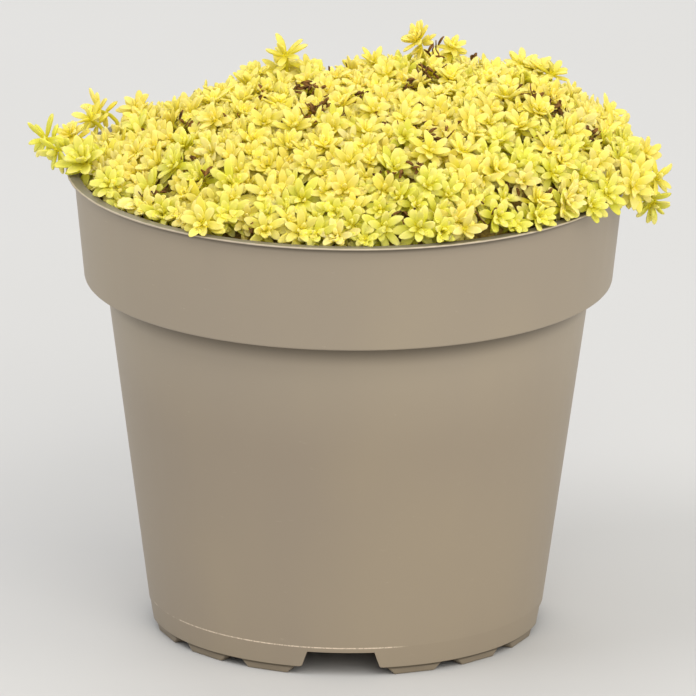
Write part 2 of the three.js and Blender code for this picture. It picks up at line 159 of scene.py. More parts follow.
class Shade:
    """The node tree of one material in the making."""

    def __init__(self, name: str) -> None:
        """Starts an empty node tree."""
        self.material = bpy.data.materials.new(name)
        self.material.use_nodes = True
        self.tree = self.material.node_tree
        self.tree.nodes.clear()

    def node(self, kind: str, settings: dict | None = None, inputs: dict | None = None, out: str | int = 0) -> Wire:
        """Adds any node.

        Args:
            kind: The node's type.
            settings: Its own settings, set first.
            inputs: Values or links of its sockets, by name or number.
            out: The output to give back.

        Returns:
            That output.
        """
        made = self.tree.nodes.new(kind)
        for key, value in (settings or {}).items():
            setattr(made, key, value)
        for key, value in (inputs or {}).items():
            if isinstance(value, Wire):
                self.tree.links.new(value.socket, made.inputs[key])
            else:
                made.inputs[key].default_value = value
        return Wire(self, made.outputs[out])

    def place(self, scale: Point = (1, 1, 1)) -> Wire:
        """Gives the place on the object, in metres, stretched along each axis."""
        where = self.node("ShaderNodeTexCoord", out="Object")
        return self.node("ShaderNodeMapping", None, {"Vector": where, "Scale": scale})

    def cloud(self, place: Wire, scale: float, detail: float = 3.0, roughness: float = 0.5) -> Wire:
        """Gives soft noise from 0 to 1, with so many blotches to the metre and layers of detail."""
        inputs = {"Vector": place, "Scale": scale, "Detail": detail, "Roughness": roughness}
        return self.node("ShaderNodeTexNoise", None, inputs, out="Fac")

    def mix(self, share: Number, first: object, second: object) -> Wire:
        """Blends two colours, each a colour of 0 to 255 or a link. The share is how much of the second."""
        first, second = (c if isinstance(c, Wire) else linear(c) for c in (first, second))
        return self.node("ShaderNodeMix", {"data_type": "RGBA"}, {0: share, 6: first, 7: second}, out=2)

    def attribute(self, name: str, out: str = "Fac") -> Wire:
        """Reads one of the mesh's own attributes."""
        return self.node("ShaderNodeAttribute", {"attribute_name": name}, out=out)

    def finish(self, colour: Number, rough: Number, gloss: float, relief: tuple | None = None, **more: object) -> Material:
        """Ends the tree in a Principled shader and gives the material.

        Args:
            colour: Its base colour.
            rough: Its roughness.
            gloss: Its specular level.
            relief: A bump's height from 0 to 1, its strength, and its depth in millimetres.
            more: Other inputs, with _ for each space.

        Returns:
            The material.
        """
        inputs = {"Base Color": colour, "Roughness": rough, "Specular IOR Level": gloss}
        if relief:
            height, strength, depth = relief
            bump = {"Height": height, "Strength": strength, "Distance": depth * MM}
            inputs["Normal"] = self.node("ShaderNodeBump", None, bump)
        inputs |= {key.replace("_", " "): value for key, value in more.items()}
        surface = self.node("ShaderNodeBsdfPrincipled", {"subsurface_method": "BURLEY"}, inputs)
        end = self.tree.nodes.new("ShaderNodeOutputMaterial")
        self.tree.links.new(surface.socket, end.inputs["Surface"])
        return self.material


@dataclass(frozen=True)
class PotPlastic:
    """Satin moulded plastic: faint flow marks, a fine grain, scuffs, the line where the mould parts, and painted
    light and shade.
    """

    warm: Colour = (156, 142, 121)
    cool: Colour = (149, 136, 119)
    seam: Colour = (232, 213, 190)
    # Pale burr on the lip's outer edge, with a painted highlight along it.
    burr_and_highlight: Colour = (222, 208, 182)
    # Painted shade on the lip's flat top, where the leaves shade it.
    lip_top_shade: Colour = (102, 96, 74)
    # Painted light on the collar and the upper body.
    painted_light: Colour = (255, 247, 226)
    # Painted shade under the lip, under the ledge, over the feet and below the mould line.
    painted_shade: Colour = (84, 74, 56)
    seam_z: float = 7.0
    seam_width: float = 0.2
    seam_end_x: float = 15.0
    burr_z: float = 107.86
    burr_radius: float = 64.62
    lip_foot_z: float = 107.62
    ledge_z: float = 82.6
    foot_z: float = 2.0
    skin_radius: float = 40.0

    def material(self) -> Material:
        """Builds the pot's material."""
        shade = Shade("pot_plastic")
        where = shade.place()
        flow = shade.cloud(shade.place((1.0, 1.0, 0.22)), 46, 2.0)
        patch = shade.cloud(where, 14, 2.0)
        grain = shade.cloud(where, 1500, 2.0, 0.6)
        body = shade.mix((patch * 0.7 + flow * 0.3).rise(0.32, 0.68), self.cool, self.warm)
        across, up = (shade.node("ShaderNodeSeparateXYZ", None, {0: where}, out=axis) for axis in "XZ")
        flat = shade.place((1.0, 1.0, 0.0))
        off_axis = shade.node("ShaderNodeVectorMath", {"operation": "LENGTH"}, {0: flat}, out="Value")
        seam = self._seam_share(shade, where, across, up)
        ragged = shade.cloud(where, 420, 3.0)
        edge = self.burr_radius
        outer = (off_axis + ragged * (0.3 * MM)).rise_mm(edge + 0.1, edge + 0.3)
        # Pale burr and painted highlight along the top of the lip's outer edge.
        burr_and_highlight = outer * up.rise_mm(self.burr_z - 0.15, self.burr_z) * (0.3 + ragged * 0.8)
        # Share of painted shade on the lip's flat top, inside its outer edge.
        top = up.rise_mm(self.lip_foot_z + 0.15, self.lip_foot_z + 0.35) * (1 - outer)
        scuff = shade.cloud(shade.place((1.0, 1.0, 3.0)), 260, 4.0, 0.7).rise(0.66, 0.8)
        # The burr's painted highlight is stronger to the right.
        brighter_to_right = across.rise_mm(-45, 20) * 0.3 + 0.4
        colour = shade.mix(scuff * 0.16, body, self.seam)
        # Painted shade on the lip's top face.
        colour = shade.mix(top * 0.85, colour, self.lip_top_shade)
        # Painted light on the collar and the upper body.
        colour = shade.mix(self._painted_light_share(up) * 0.045, colour, self.painted_light)
        # Painted shade in the corners of the pot.
        colour = shade.mix(self._painted_shade_share(up, off_axis), colour, self.painted_shade)
        # Pale burr with a painted highlight on the lip's edge.
        colour = shade.mix(burr_and_highlight * brighter_to_right, colour, self.burr_and_highlight)
        colour = shade.mix(seam * 0.95, colour, self.seam)
        rough = 0.4 + flow * 0.08 + grain * 0.06 + scuff * 0.1
        return shade.finish(colour, rough, 0.42, (grain * 0.5 + seam * 0.6, 0.12, 0.1))

    def _seam_share(self, shade: Shade, where: Wire, across: Wire, up: Wire) -> Wire:
        """Where the pale mould line over the foot shows: whole in the middle, in dashes to the left."""
        ends = across.rise_mm(self.seam_end_x, 0.6 * self.seam_end_x)
        speckle = shade.cloud(where, 1900, 2.0).rise(0.36, 0.6) * 0.65 + 0.35
        strong = across.rise_mm(-38, -24)
        dashes = shade.cloud(where, 190, 2.0).rise(0.44, 0.52) * across.rise_mm(-45, -43)
        broken = (strong + dashes * 0.7 * (1 - strong)) * ends * speckle
        off_seam = (up - self.seam_z * MM).size()
        return off_seam.rise_mm(self.seam_width, 0.3 * self.seam_width) * broken

    def _painted_light_share(self, up: Wire) -> Wire:
        """How much painted light lifts the colour: the collar, and the upper body from a little under the ledge
        down to about 30 mm below it.
        """
        ledge = self.ledge_z
        high = 1 + up.rise_mm(ledge - 18, ledge - 5) * 0.3
        body = up.rise_mm(ledge - 30, ledge - 8) * up.rise_mm(ledge - 0.6, ledge - 3.2) * high
        return up.rise_mm(ledge - 0.1, ledge + 0.1) + body

    def _painted_shade_share(self, up: Wire, off_axis: Wire) -> Wire:
        """How much painted shade darkens the corners: under the lip, under the ledge and over the feet, and a
        little below the mould line.
        """
        rim, ledge, foot, seam = self.lip_foot_z, self.ledge_z, self.foot_z, self.seam_z
        lip = up.rise_mm(rim - 1.5, rim - 0.4) * up.rise_mm(rim + 0.1, rim)
        under = up.rise_mm(ledge - 6.0, ledge - 0.8) * up.rise_mm(ledge + 0.15, ledge + 0.05)
        feet = (up.rise_mm(foot - 0.75, foot - 0.4) * 0.5 + 0.3) * up.rise_mm(foot + 0.15, foot)
        skirt = up.rise_mm(seam + 0.1, seam - 0.1)
        # Painted shade, summed from each corner.
        painted_shade = lip * 0.8 + under * 0.7 + feet + skirt * 0.06
        return painted_shade * off_axis.rise_mm(self.skin_radius, self.skin_radius + 3)


@dataclass(frozen=True)
class LeafFlesh:
    """Fleshy leaf skin: each leaf has its own tint, paler towards the tip, over a soft inner glow."""

    heart: Colour = (204, 193, 20)
    pale_tip: Colour = (232, 218, 138)
    glow: float = 0.7
    glow_radius: Point = (1.0, 0.92, 0.3)
    glow_reach: float = 1.2

    def material(self) -> Material:
        """Builds the leaves' material from their tint, along and paleness attributes."""
        shade = Shade("leaf_flesh")
        tint = shade.attribute("tint", "Color")
        along = shade.attribute("along")
        mottle = shade.cloud(shade.place(), 900, 3.0, 0.6)
        colour = shade.mix(along.rise(0.0, 0.6), shade.mix(0.7, tint, self.heart), tint)
        colour = shade.mix(along.rise(0.4, 1.0) * shade.attribute("paleness"), colour, self.pale_tip)
        colour = shade.mix(mottle.rise(0.5, 0.75) * 0.12, colour, self.pale_tip)
        glow = {"Subsurface_Radius": self.glow_radius, "Subsurface_Scale": self.glow_reach * MM}
        relief = (mottle, 0.1, 0.08)
        return shade.finish(colour, 0.62 - mottle * 0.16, 0.22, relief, Subsurface_Weight=self.glow, **glow)


@dataclass(frozen=True)
class DryStalk:
    """Old stems and withered leaves: straw to dark brown, dull and fibrous."""

    name: str
    dark: Colour
    light: Colour
    grain: float

    def material(self) -> Material:
        """Builds the material of dry plant matter."""
        shade = Shade(self.name)
        where = shade.place()
        coarse = shade.cloud(where, self.grain, 4.0, 0.65)
        fine = shade.cloud(where, self.grain * 5, 3.0, 0.6)
        colour = shade.mix((coarse * 0.65 + fine * 0.35).rise(0.36, 0.64), self.dark, self.light)
        return shade.finish(colour, 0.78 + fine * 0.16, 0.25, (fine * 0.6 + coarse * 0.4, 0.6, 0.5))


@dataclass(frozen=True)
class CompostCrumb:
    """Moist potting compost: dark peat crumbs with paler fibres."""

    peat: Colour = (44, 33, 25)
    crumb: Colour = (86, 66, 48)
    fibre: Colour = (140, 112, 80)

    def material(self) -> Material:
        """Builds the compost's material."""
        shade = Shade("compost_crumb")
        where = shade.place()
        cells = shade.node("ShaderNodeTexVoronoi", None, {"Vector": where, "Scale": 420.0}, out="Distance")
        coarse = shade.cloud(where, 180, 5.0, 0.7)
        fibre = shade.cloud(shade.place((1.0, 6.0, 1.0)), 220, 3.0, 0.6).rise(0.64, 0.72)
        colour = shade.mix(fibre * 0.6, shade.mix(coarse.rise(0.4, 0.62), self.peat, self.crumb), self.fibre)
        height = coarse * 0.6 + (1 - cells.rise(0.0, 0.7)) * 0.4
        return shade.finish(colour, 0.86 + coarse * 0.1, 0.2, (height, 0.8, 1.0))


@dataclass(frozen=True)
class StudioPaper:
    """The pale floor that the pot stands on."""

    shaded: Colour = (198, 198, 197)
    white: Colour = (201, 201, 201)

    def material(self) -> Material:
        """Builds the floor's material."""
        shade = Shade("studio_paper")
        return shade.finish(shade.mix(shade.cloud(shade.place(), 8, 2.0), self.shaded, self.white), 0.9, 0.1)


# Making pieces


def freed(shape: BMesh, name: str) -> Mesh:
    """Turns a shape into a mesh, and frees the shape."""
    mesh = bpy.data.meshes.new(name)
    shape.to_mesh(mesh)
    shape.free()
    return mesh


def absorb(shape: BMesh, mesh: Mesh) -> None:
    """Adds a mesh to a shape, and removes the mesh."""
    shape.from_mesh(mesh)
    bpy.data.meshes.remove(mesh)


def stand(name: str, data: object) -> Object:
    """Puts a mesh, a light or a camera into the scene."""
    thing = bpy.data.objects.new(name, data)
    bpy.context.scene.collection.objects.link(thing)
    return thing


def lathe(shape: BMesh, outline: list, angle: float, steps: int) -> list:
    """Turns an outline's vertices and edges about the vertical axis, and gives their last copy."""
    about = {"cent": (0, 0, 0), "axis": UP, "dvec": (0, 0, 0), "use_merge": False}
    return bmesh.ops.spin(shape, geom=outline, angle=angle, steps=steps, **about)["geom_last"]


def chain(shape: BMesh, points: Sequence[tuple[float, float]], angle: float = 0.0) -> list[BMVert]:
    """Draws an outline of (radius, z) points in the upright plane at an angle, and gives its vertices."""
    verts = [shape.verts.new((r * math.cos(angle), r * math.sin(angle), z)) for r, z in points]
    for a, b in zip(verts, verts[1:]):
        shape.edges.new((a, b))
    return verts


def outwards(shape: BMesh) -> None:
    """Joins a shape's doubled vertices and turns all its faces outwards."""
    bmesh.ops.remove_doubles(shape, verts=shape.verts, dist=TINY)
    bmesh.ops.recalc_face_normals(shape, faces=shape.faces)


def turned(profile: Sequence[tuple[float, float]], rings: int, sides: int) -> BMesh:
    """Turns a whole outline of (radius, z) points. Its last edge, the top, is cut into rings."""
    shape = bmesh.new()
    last = chain(shape, profile)[-1]
    bmesh.ops.subdivide_edges(shape, edges=last.link_edges[:], cuts=rings)
    lathe(shape, shape.verts[:] + shape.edges[:], FULL_TURN, sides)
    outwards(shape)
    return shape


def soften(shape: BMesh, geom: list, offset: float, segments: int = 3, affect: str = "EDGES") -> None:
    """Rounds edges or corners off."""
    even = {"offset_type": "OFFSET", "profile": 0.5, "material": -1}
    bmesh.ops.bevel(shape, geom=geom, offset=offset, segments=segments, affect=affect, **even)


def is_corner(edge: BMEdge) -> bool:
    """Whether the faces on an edge meet at an angle."""
    return len(edge.link_faces) == 2 and edge.calc_face_angle() > math.radians(30)


def sweep(shape: BMesh, path: Sequence[Vector], radius: float, sides: int, taper: float = 1.0) -> list[BMVert]:
    """Draws a round rod along a path by extruding a ring from point to point.

    Args:
        shape: The shape that it is added to.
        path: Points of its middle line.
        radius: Its radius at the start.
        sides: Faces round it.
        taper: Its radius at the end, as a share of the start's.

    Returns:
        The rod's vertices.
    """
    heading = (path[1] - path[0]).normalized()
    facing = Matrix.Translation(path[0]) @ UP.rotation_difference(heading).to_matrix().to_4x4()
    made = bmesh.ops.create_circle(shape, cap_ends=True, segments=sides, radius=radius, matrix=facing)["verts"]
    edges = made[0].link_faces[0].edges[:]
    narrow = taper ** (1 / (len(path) - 1))
    for before, point, after in zip(path, path[1:], [*path[2:], path[-1]]):
        onwards = (after - before).normalized()
        turn = heading.rotation_difference(onwards).to_matrix()
        heading = onwards
        grown = bmesh.ops.extrude_edge_only(shape, edges=edges)["geom"]
        verts = [g for g in grown if isinstance(g, BMVert)]
        edges = [g for g in grown if isinstance(g, BMEdge) and set(g.verts) <= set(verts)]
        bmesh.ops.translate(shape, vec=point - before, verts=verts)
        bmesh.ops.rotate(shape, cent=point, matrix=turn, verts=verts)
        bmesh.ops.scale(shape, vec=(narrow,) * 3, space=Matrix.Translation(-point), verts=verts)
        made = made + verts
    bmesh.ops.contextual_create(shape, geom=edges)
    bmesh.ops.recalc_face_normals(shape, faces=list({f for v in made for f in v.link_faces}))
    return made


@dataclass
class Workshop:
    """Turns finished shapes into pieces of the object."""

    faces: int = 0

    def piece(
        self, shape: BMesh, name: str, slot: str, finish: Material, node: str = "", crease_deg: float = 0.0
    ) -> None:
        """Turns a shape in millimetres into a smooth piece that rides on the root body.

        Args:
            shape: The shape. It is freed.
            name: The piece's name.
            slot: The record's material slot. It is not used.
            finish: Its material.
            node: The CAD node that it replaces, if any.
            crease_deg: Edges that turn more than this stay sharp, if it isn't 0.
        """
        bmesh.ops.scale(shape, vec=(MM, MM, MM), verts=shape.verts)
        mesh = freed(shape, name)
        mesh.materials.append(finish)
        mesh.shade_smooth()
        if crease_deg:
            mesh.set_sharp_from_angle(angle=math.radians(crease_deg))
        piece = stand(name, mesh)
        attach(piece, ROOT)
        if node:
            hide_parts(node)
        self.faces += len(mesh.polygons)
        LOG.info("%s: %d faces, stands for %s", name, len(mesh.polygons), node or "no node")


@dataclass
class NurseryPot:
    """The moulded pot: lip, collar, ledge, tapered body, raised floor with drains, skirt and feet."""

    height: float
    lip_radius: float
    wall: float = 1.2
    lip_thickness: float = 0.38
    lip_width: float = 2.9
    collar_top_radius: float = 63.3
    collar_foot_radius: float = 60.7
    ledge_z: float = 82.6
    body_top_radius: float = 55.8
    skirt_radius: float = 45.0
    skirt_z: float = 2.0
    floor_z: float = 6.2
    gap_top_z: float = 5.9
    gap_top_width: float = 15.3
    gap_foot_width: float = 18.1
    base_places: int = 16
    gap_every: int = 4
    base_turn_deg: float = -1.4
    gap_steps: int = 8
    slope_reach: float = 0.12
    block_steps: int = 64
    foot_outer_radius: float = 44.2
    foot_depth: float = 2.8
    foot_top_width: float = 13.5
    foot_sole_width: float = 9.8
    drains: int = 8
    drain_radius: float = 3.5
    drain_circle: float = 32.0
    drain_band: tuple[float, float] = (27.0, 37.0)
    drain_cuts: int = 7
    warp: float = 0.12
    burr_wave: float = 0.16

    def body_radius(self, z: float) -> float:
        """Radius of the body's outside at a height."""
        share = (z - self.skirt_z) / (self.ledge_z - self.skirt_z)
        return between(self.skirt_radius, self.body_top_radius, share)

    def collar_inside(self, z: float) -> float:
        """Radius of the collar's inside at a height."""
        share = (z - self.ledge_z) / (self.height - self.ledge_z)
        return between(self.collar_foot_radius, self.collar_top_radius, share) - self.wall

    def meets(self, point: Vector, room: float) -> bool:
        """Whether a point is inside the collar's wall or the lip, or nearer to them than the room."""
        low = point.z <= self.height + room
        return low and self.collar_inside(point.z) - room < point.xy.length < self.lip_radius + room

    def _outline(self) -> list[tuple[float, float, float]]:
        """Gives the wall's section as (radius, z, rounding) corners, from the floor's underside to its top."""
        inner_ledge = self.ledge_z + self.wall
        floor_top = self.floor_z + self.wall
        lip_foot = self.height - self.lip_thickness
        band_in, band_out = self.drain_band
        skirt_inside = self.skirt_radius - self.wall
        return [
            (0, self.floor_z, 0),
            (band_in, self.floor_z, 0),
            (band_out, self.floor_z, 0),
            (skirt_inside, self.floor_z, 0),
            (skirt_inside, self.gap_top_z, 0),
            (self.body_radius(self.gap_top_z), self.gap_top_z, 0),
            (self.body_top_radius, self.ledge_z, 0.35),
            (self.collar_foot_radius, self.ledge_z, 0.5),
            (self.collar_top_radius, lip_foot, 0.4),
            (self.lip_radius, lip_foot, 0.08),
            (self.lip_radius, self.height, 0.14),
            (self.lip_radius - self.lip_width, self.height, 0.6),
            (self.collar_inside(inner_ledge), inner_ledge, 0.8),
            (self.body_radius(inner_ledge) - self.wall, inner_ledge, 0.8),
            (self.body_radius(floor_top) - self.wall, floor_top, 0.8),
            (band_out, floor_top, 0),
            (band_in, floor_top, 0),
            (0, floor_top, 0),
        ]

    def _half_angle(self, width: float) -> float:
        """Half of the angle that a width takes on the skirt."""
        return math.asin(width / 2 / self.skirt_radius)

    def _place_angle(self, place: int) -> float:
        """Direction of one of the places round the base, from +X towards +Y. Place 0 faces the viewer."""
        return math.radians(self.base_turn_deg - 90) + place * FULL_TURN / self.base_places

    def _off_gap(self, point: Vector) -> float:
        """Angle from a point to the middle of the nearest gap, with its sign."""
        pitch = FULL_TURN * self.gap_every / self.base_places
        off = math.atan2(point.y, point.x) - self._place_angle(0)
        return (off + pitch / 2) % pitch - pitch / 2

    def _spans_drains(self, edge: BMEdge) -> bool:
        """Whether an edge crosses the band of the floor that the drains are in."""
        radii = sorted(v.co.xy.length for v in edge.verts)
        return all(abs(radius - end) < TINY for radius, end in zip(radii, self.drain_band))

    def _turn_shell(self, shape: BMesh) -> None:
        """Turns the wall's section in arcs that end at the gaps' edges."""
        corners = self._outline()
        half = self._half_angle(self.gap_top_width)
        verts = chain(shape, [(r, z) for r, z, _ in corners], self._place_angle(0) - half)
        ringed = [e for e in shape.edges if self._spans_drains(e)]
        for vert, (_, _, rounding) in zip(verts, corners):
            if rounding:
                soften(shape, [vert], rounding, 4, "VERTICES")
        bmesh.ops.subdivide_edges(shape, edges=ringed, cuts=self.drain_cuts)
        outline = shape.verts[:] + shape.edges[:]
        gaps = self.base_places // self.gap_every
        for _ in range(gaps):
            outline = lathe(shape, outline, 2 * half, self.gap_steps)
            outline = lathe(shape, outline, FULL_TURN / gaps - 2 * half, self.block_steps)
        outwards(shape)

    def _lower_skirt(self, shape: BMesh) -> None:
        """Draws the skirt down between the gaps, with sloping ends and softened edges."""
        half = self._half_angle(self.gap_top_width)
        slope = self._half_angle(self.gap_foot_width) - half
        rim = []
        for face in shape.faces:
            middle = face.calc_center_median()
            level = abs(middle.z - self.gap_top_z) < TINY and middle.xy.length > self.skirt_radius - 2 * self.wall
            if level and abs(self._off_gap(middle)) > half:
                rim.append(face)
        drawn = bmesh.ops.extrude_face_region(shape, geom=rim)["geom"]
        bmesh.ops.delete(shape, geom=rim, context="FACES_ONLY")
        low = {g for g in drawn if isinstance(g, BMVert)}
        for vert in low:
            inside = vert.co.xy.length < self.skirt_radius - self.wall / 2
            flat = vert.co.xy.normalized() * (self.skirt_radius - self.wall * inside)
            off = self._off_gap(vert.co)
            share = max(0.0, 1 - (abs(off) - half) / self.slope_reach)
            turn = Matrix.Rotation(math.copysign(slope * share, off), 3, "Z")
            vert.co = turn @ Vector((flat.x, flat.y, self.skirt_z))
        edges = {e for v in low for e in v.link_edges if set(e.verts) <= low and is_corner(e)}
        soften(shape, list(edges), 0.3)

    def _bore_drains(self, shape: BMesh) -> None:
        """Opens the round drain holes through the floor."""
        for hole in range(self.drains):
            angle = (hole + 0.5) * FULL_TURN / self.drains
            middle = Vector((math.cos(angle), math.sin(angle))) * self.drain_circle
            mouths = self._open_mouth(shape, middle, self.floor_z)
            mouths += self._open_mouth(shape, middle, self.floor_z + self.wall)
            bmesh.ops.bridge_loops(shape, edges=mouths)

    def _open_mouth(self, shape: BMesh, middle: Vector, level: float) -> list[BMEdge]:
        """Takes away the faces of one mouth of a drain, and gives the mouth's edges in a circle."""
        inside = []
        for face in shape.faces:
            centre = face.calc_center_median()
            if abs(centre.z - level) < 0.05 and (centre.xy - middle).length < self.drain_radius:
                inside.append(face)
        edges = {e for f in inside for e in f.edges}
        rim = [e for e in edges if sum(f in inside for f in e.link_faces) == 1]
        bmesh.ops.delete(shape, geom=inside, context="FACES")
        for vert in {v for e in rim for v in e.verts}:
            vert.co.xy = middle + (vert.co.xy - middle).normalized() * self.drain_radius
        return rim

    def _add_foot(self, shape: BMesh, place: int) -> None:
        """Sinks one tapered foot into the skirt and the floor."""
        foot = bmesh.new()
        top = self.floor_z + self.wall / 2
        middle = self.foot_outer_radius - self.foot_depth / 2
        size = Matrix.Diagonal((self.foot_depth, self.foot_top_width, top, 1))
        bmesh.ops.create_cube(foot, size=1, matrix=Matrix.Translation((middle, 0, top / 2)) @ size)
        block = foot.verts[:] + foot.edges[:] + foot.faces[:]
        bmesh.ops.bisect_plane(foot, geom=block, plane_co=(0, 0, self.skirt_z), plane_no=UP)
        sole = [v for v in foot.verts if v.co.z < TINY]
        bmesh.ops.scale(foot, vec=(1, self.foot_sole_width / self.foot_top_width, 1), verts=sole)
        soften(foot, [e for e in foot.edges if is_corner(e)], 0.35)
        turn = Matrix.Rotation(self._place_angle(place), 3, "Z")
        bmesh.ops.rotate(foot, cent=(0, 0, 0), matrix=turn, verts=foot.verts)
        absorb(shape, freed(foot, "foot"))

    def _warp_wall(self, shape: BMesh) -> None:
        """Gives the thin wall the slight unevenness of a real moulding, more towards the lip."""
        for vert in shape.verts:
            radius = vert.co.xy.length
            share = max(vert.co.z - self.skirt_z, 0) / self.height
            flat = vert.co.xy.normalized() if radius > 1 else Vector((0, 0))
            wave = noise.noise(Vector((flat.x * 1.6, flat.y * 1.6, vert.co.z * 0.01)))
            fine = noise.noise(Vector((flat.x * 14, flat.y * 14, 7.0)))
            push = self.warp * share * (wave * 2 + fine * 0.5)
            if radius > self.lip_radius - 0.3:
                ragged = self.burr_wave * noise.noise(Vector((flat.x * 34, flat.y * 34, 3.0)))
                push += ragged
                vert.co.z += max(ragged, 0)
            vert.co.xy += flat * push

    def build(self, workshop: Workshop) -> None:
        """Builds the pot and puts it in the place of its CAD node."""
        shape = bmesh.new()
        self._turn_shell(shape)
        self._lower_skirt(shape)
        self._bore_drains(shape)
        outwards(shape)
        self._warp_wall(shape)
        for place in range(self.base_places):
            if place % self.gap_every:
                self._add_foot(shape, place)
        workshop.piece(shape, "moulded_pot", "pot", PotPlastic().material(), "pot", crease_deg=42)


@dataclass
class Compost:
    """The compost: it fills the pot to a crumbly surface a little under the lip."""

    pot: NurseryPot
    top_z: float
    gap: float = 0.3
    sides: int = 128
    top_rings: int = 36
    crumb: float = 0.55

    def build(self, workshop: Workshop) -> None:
        """Builds the compost and puts it in the place of its CAD node."""
        pot = self.pot
        inset = pot.wall + self.gap
        floor, ledge = pot.floor_z + inset, pot.ledge_z + inset
        edge_radius = pot.collar_inside(self.top_z) - self.gap
        outline = [
            (0, floor),
            (pot.body_radius(floor) - inset, floor),
            (pot.body_radius(ledge) - inset, ledge),
            (pot.collar_inside(ledge) - self.gap, ledge),
            (edge_radius, self.top_z - self.crumb),
            (0, self.top_z - self.crumb),
        ]
        shape = turned(outline, self.top_rings, self.sides)
        for vert in shape.verts:
            if vert.co.z > ledge + 1 and vert.co.xy.length < edge_radius - 0.2:
                lump = noise.noise(vert.co * 0.4) + 0.6 * noise.noise(vert.co * 1.1)
                vert.co.z += self.crumb * max(min(lump, 1.0), -1.0)
        workshop.piece(shape, "compost", "soil", CompostCrumb().material(), "soil", crease_deg=60)


# The plant


@dataclass(frozen=True)
class Hollow:
    """A dip in the cushion: its middle, how deep it is and how far it reaches."""

    x: float
    y: float
    depth: float
    reach: float


@dataclass(frozen=True)
class Cushion:
    """The surface that the rosettes form, by the same rule as in the CAD source. It is fullest to the right."""

    pot_height: float
    radius: float = 60.5
    spill: float = 5.0
    spill_deg: float = 15.0
    edge_height: float = -2.0
    edge_lift: float = 4.0
    crown_height: float = 16.9
    crown_slope: float = 0.06
    shoulder_power: float = 3.4
    shoulder_round: float = 0.8
    hollows: tuple[Hollow, ...] = (Hollow(-40, 40, 3.1, 19), Hollow(-2, 40, 6.2, 12), Hollow(57, 24, 1.0, 13))
    lump_height: float = 1.1
    lump_pitch: float = 17.0
    lump_skew: float = 0.3
    upright_share: float = 0.2

    def fullness(self, angle: float) -> float:
        """How full the cushion is towards an angle, from 0 to 1."""
        return (0.5 + 0.5 * math.cos(angle - math.radians(self.spill_deg))) ** 2

    def reach(self, angle: float) -> float:
        """The cushion's radius towards an angle."""
        return self.radius + self.spill * self.fullness(angle)

    def share(self, x: float, y: float) -> float:
        """How far out a place is, from 0 in the middle to 1 at the edge."""
        return min(math.hypot(x, y) / self.reach(math.atan2(y, x)), 1)

    def height(self, x: float, y: float) -> float:
        """Height of the surface at a place."""
        share = self.share(x, y)
        edge = (self.edge_height + self.edge_lift * self.fullness(math.atan2(y, x))) * share**2
        crown = (self.crown_height + self.crown_slope * x) * (1 - share**self.shoulder_power) ** self.shoulder_round
        sunk = sum(h.depth * math.exp(-((x - h.x) ** 2 + (y - h.y) ** 2) / h.reach**2) for h in self.hollows)
        turn = FULL_TURN / self.lump_pitch
        lump = math.cos(turn * (x + self.lump_skew * y)) * math.cos(turn * (y - self.lump_skew * x))
        return self.pot_height + edge + crown - sunk + self.lump_height * lump * (1 - share**4)

    def place(self, x: float, y: float, lift: float = 0.0) -> Vector:
        """The point of the surface at a place, or one above it."""
        return Vector((x, y, self.height(x, y) + lift))

    def somewhere(self, draw: Draw, edge: float) -> tuple[float, float]:
        """A random place, out to a share of the cushion's reach."""
        angle = draw() * FULL_TURN
        radius = math.sqrt(draw()) * edge * self.reach(angle)
        return radius * math.cos(angle), radius * math.sin(angle)

    def growth(self, x: float, y: float) -> Vector:
        """Outward direction of the surface, part way turned up, as shoots grow."""
        slope_x = (self.height(x + 1, y) - self.height(x - 1, y)) / 2
        slope_y = (self.height(x, y + 1) - self.height(x, y - 1)) / 2
        facing = Vector((-slope_x, -slope_y, 1)).normalized()
        return (facing + UP * self.upright_share).normalized()


class Habit(Enum):
    """How a shoot carries its leaves."""

    OPEN = "open"
    CUPPED = "cupped"
    DRAWN = "drawn"
    LOOSE = "loose"
    SPARSE = "sparse"


class Tone(Enum):
    """Colours of a whole rosette: its young leaves and its older, shaded ones."""

    LEMON = ((227, 216, 110), (219, 205, 52))
    LIME = ((218, 214, 98), (206, 204, 44))
    GOLD = ((228, 213, 110), (220, 202, 56))
    CREAM = ((229, 218, 138), (220, 205, 98))


OPEN, CUPPED, DRAWN, LOOSE, SPARSE = Habit
LEMON, LIME, GOLD, CREAM = Tone


@dataclass
class Shoot:
    """One shoot: where its head is, the way it faces, the bends of its stem, and how it grows."""

    head: Vector
    axis: Vector
    size: float
    leaves: int
    turn: float
    bends: list[Vector] = field(default_factory=list)
    habit: Habit = OPEN
    tone: Tone = LEMON
    stray: bool = False


@dataclass(frozen=True)
class Sprig:
    """A shoot that breaks out of the cushion. Heights are above the lip."""

    head: Point
    lean: Point
    size: float
    habit: Habit = OPEN
    tone: Tone = LEMON
    bends: tuple[Point, ...] = ()


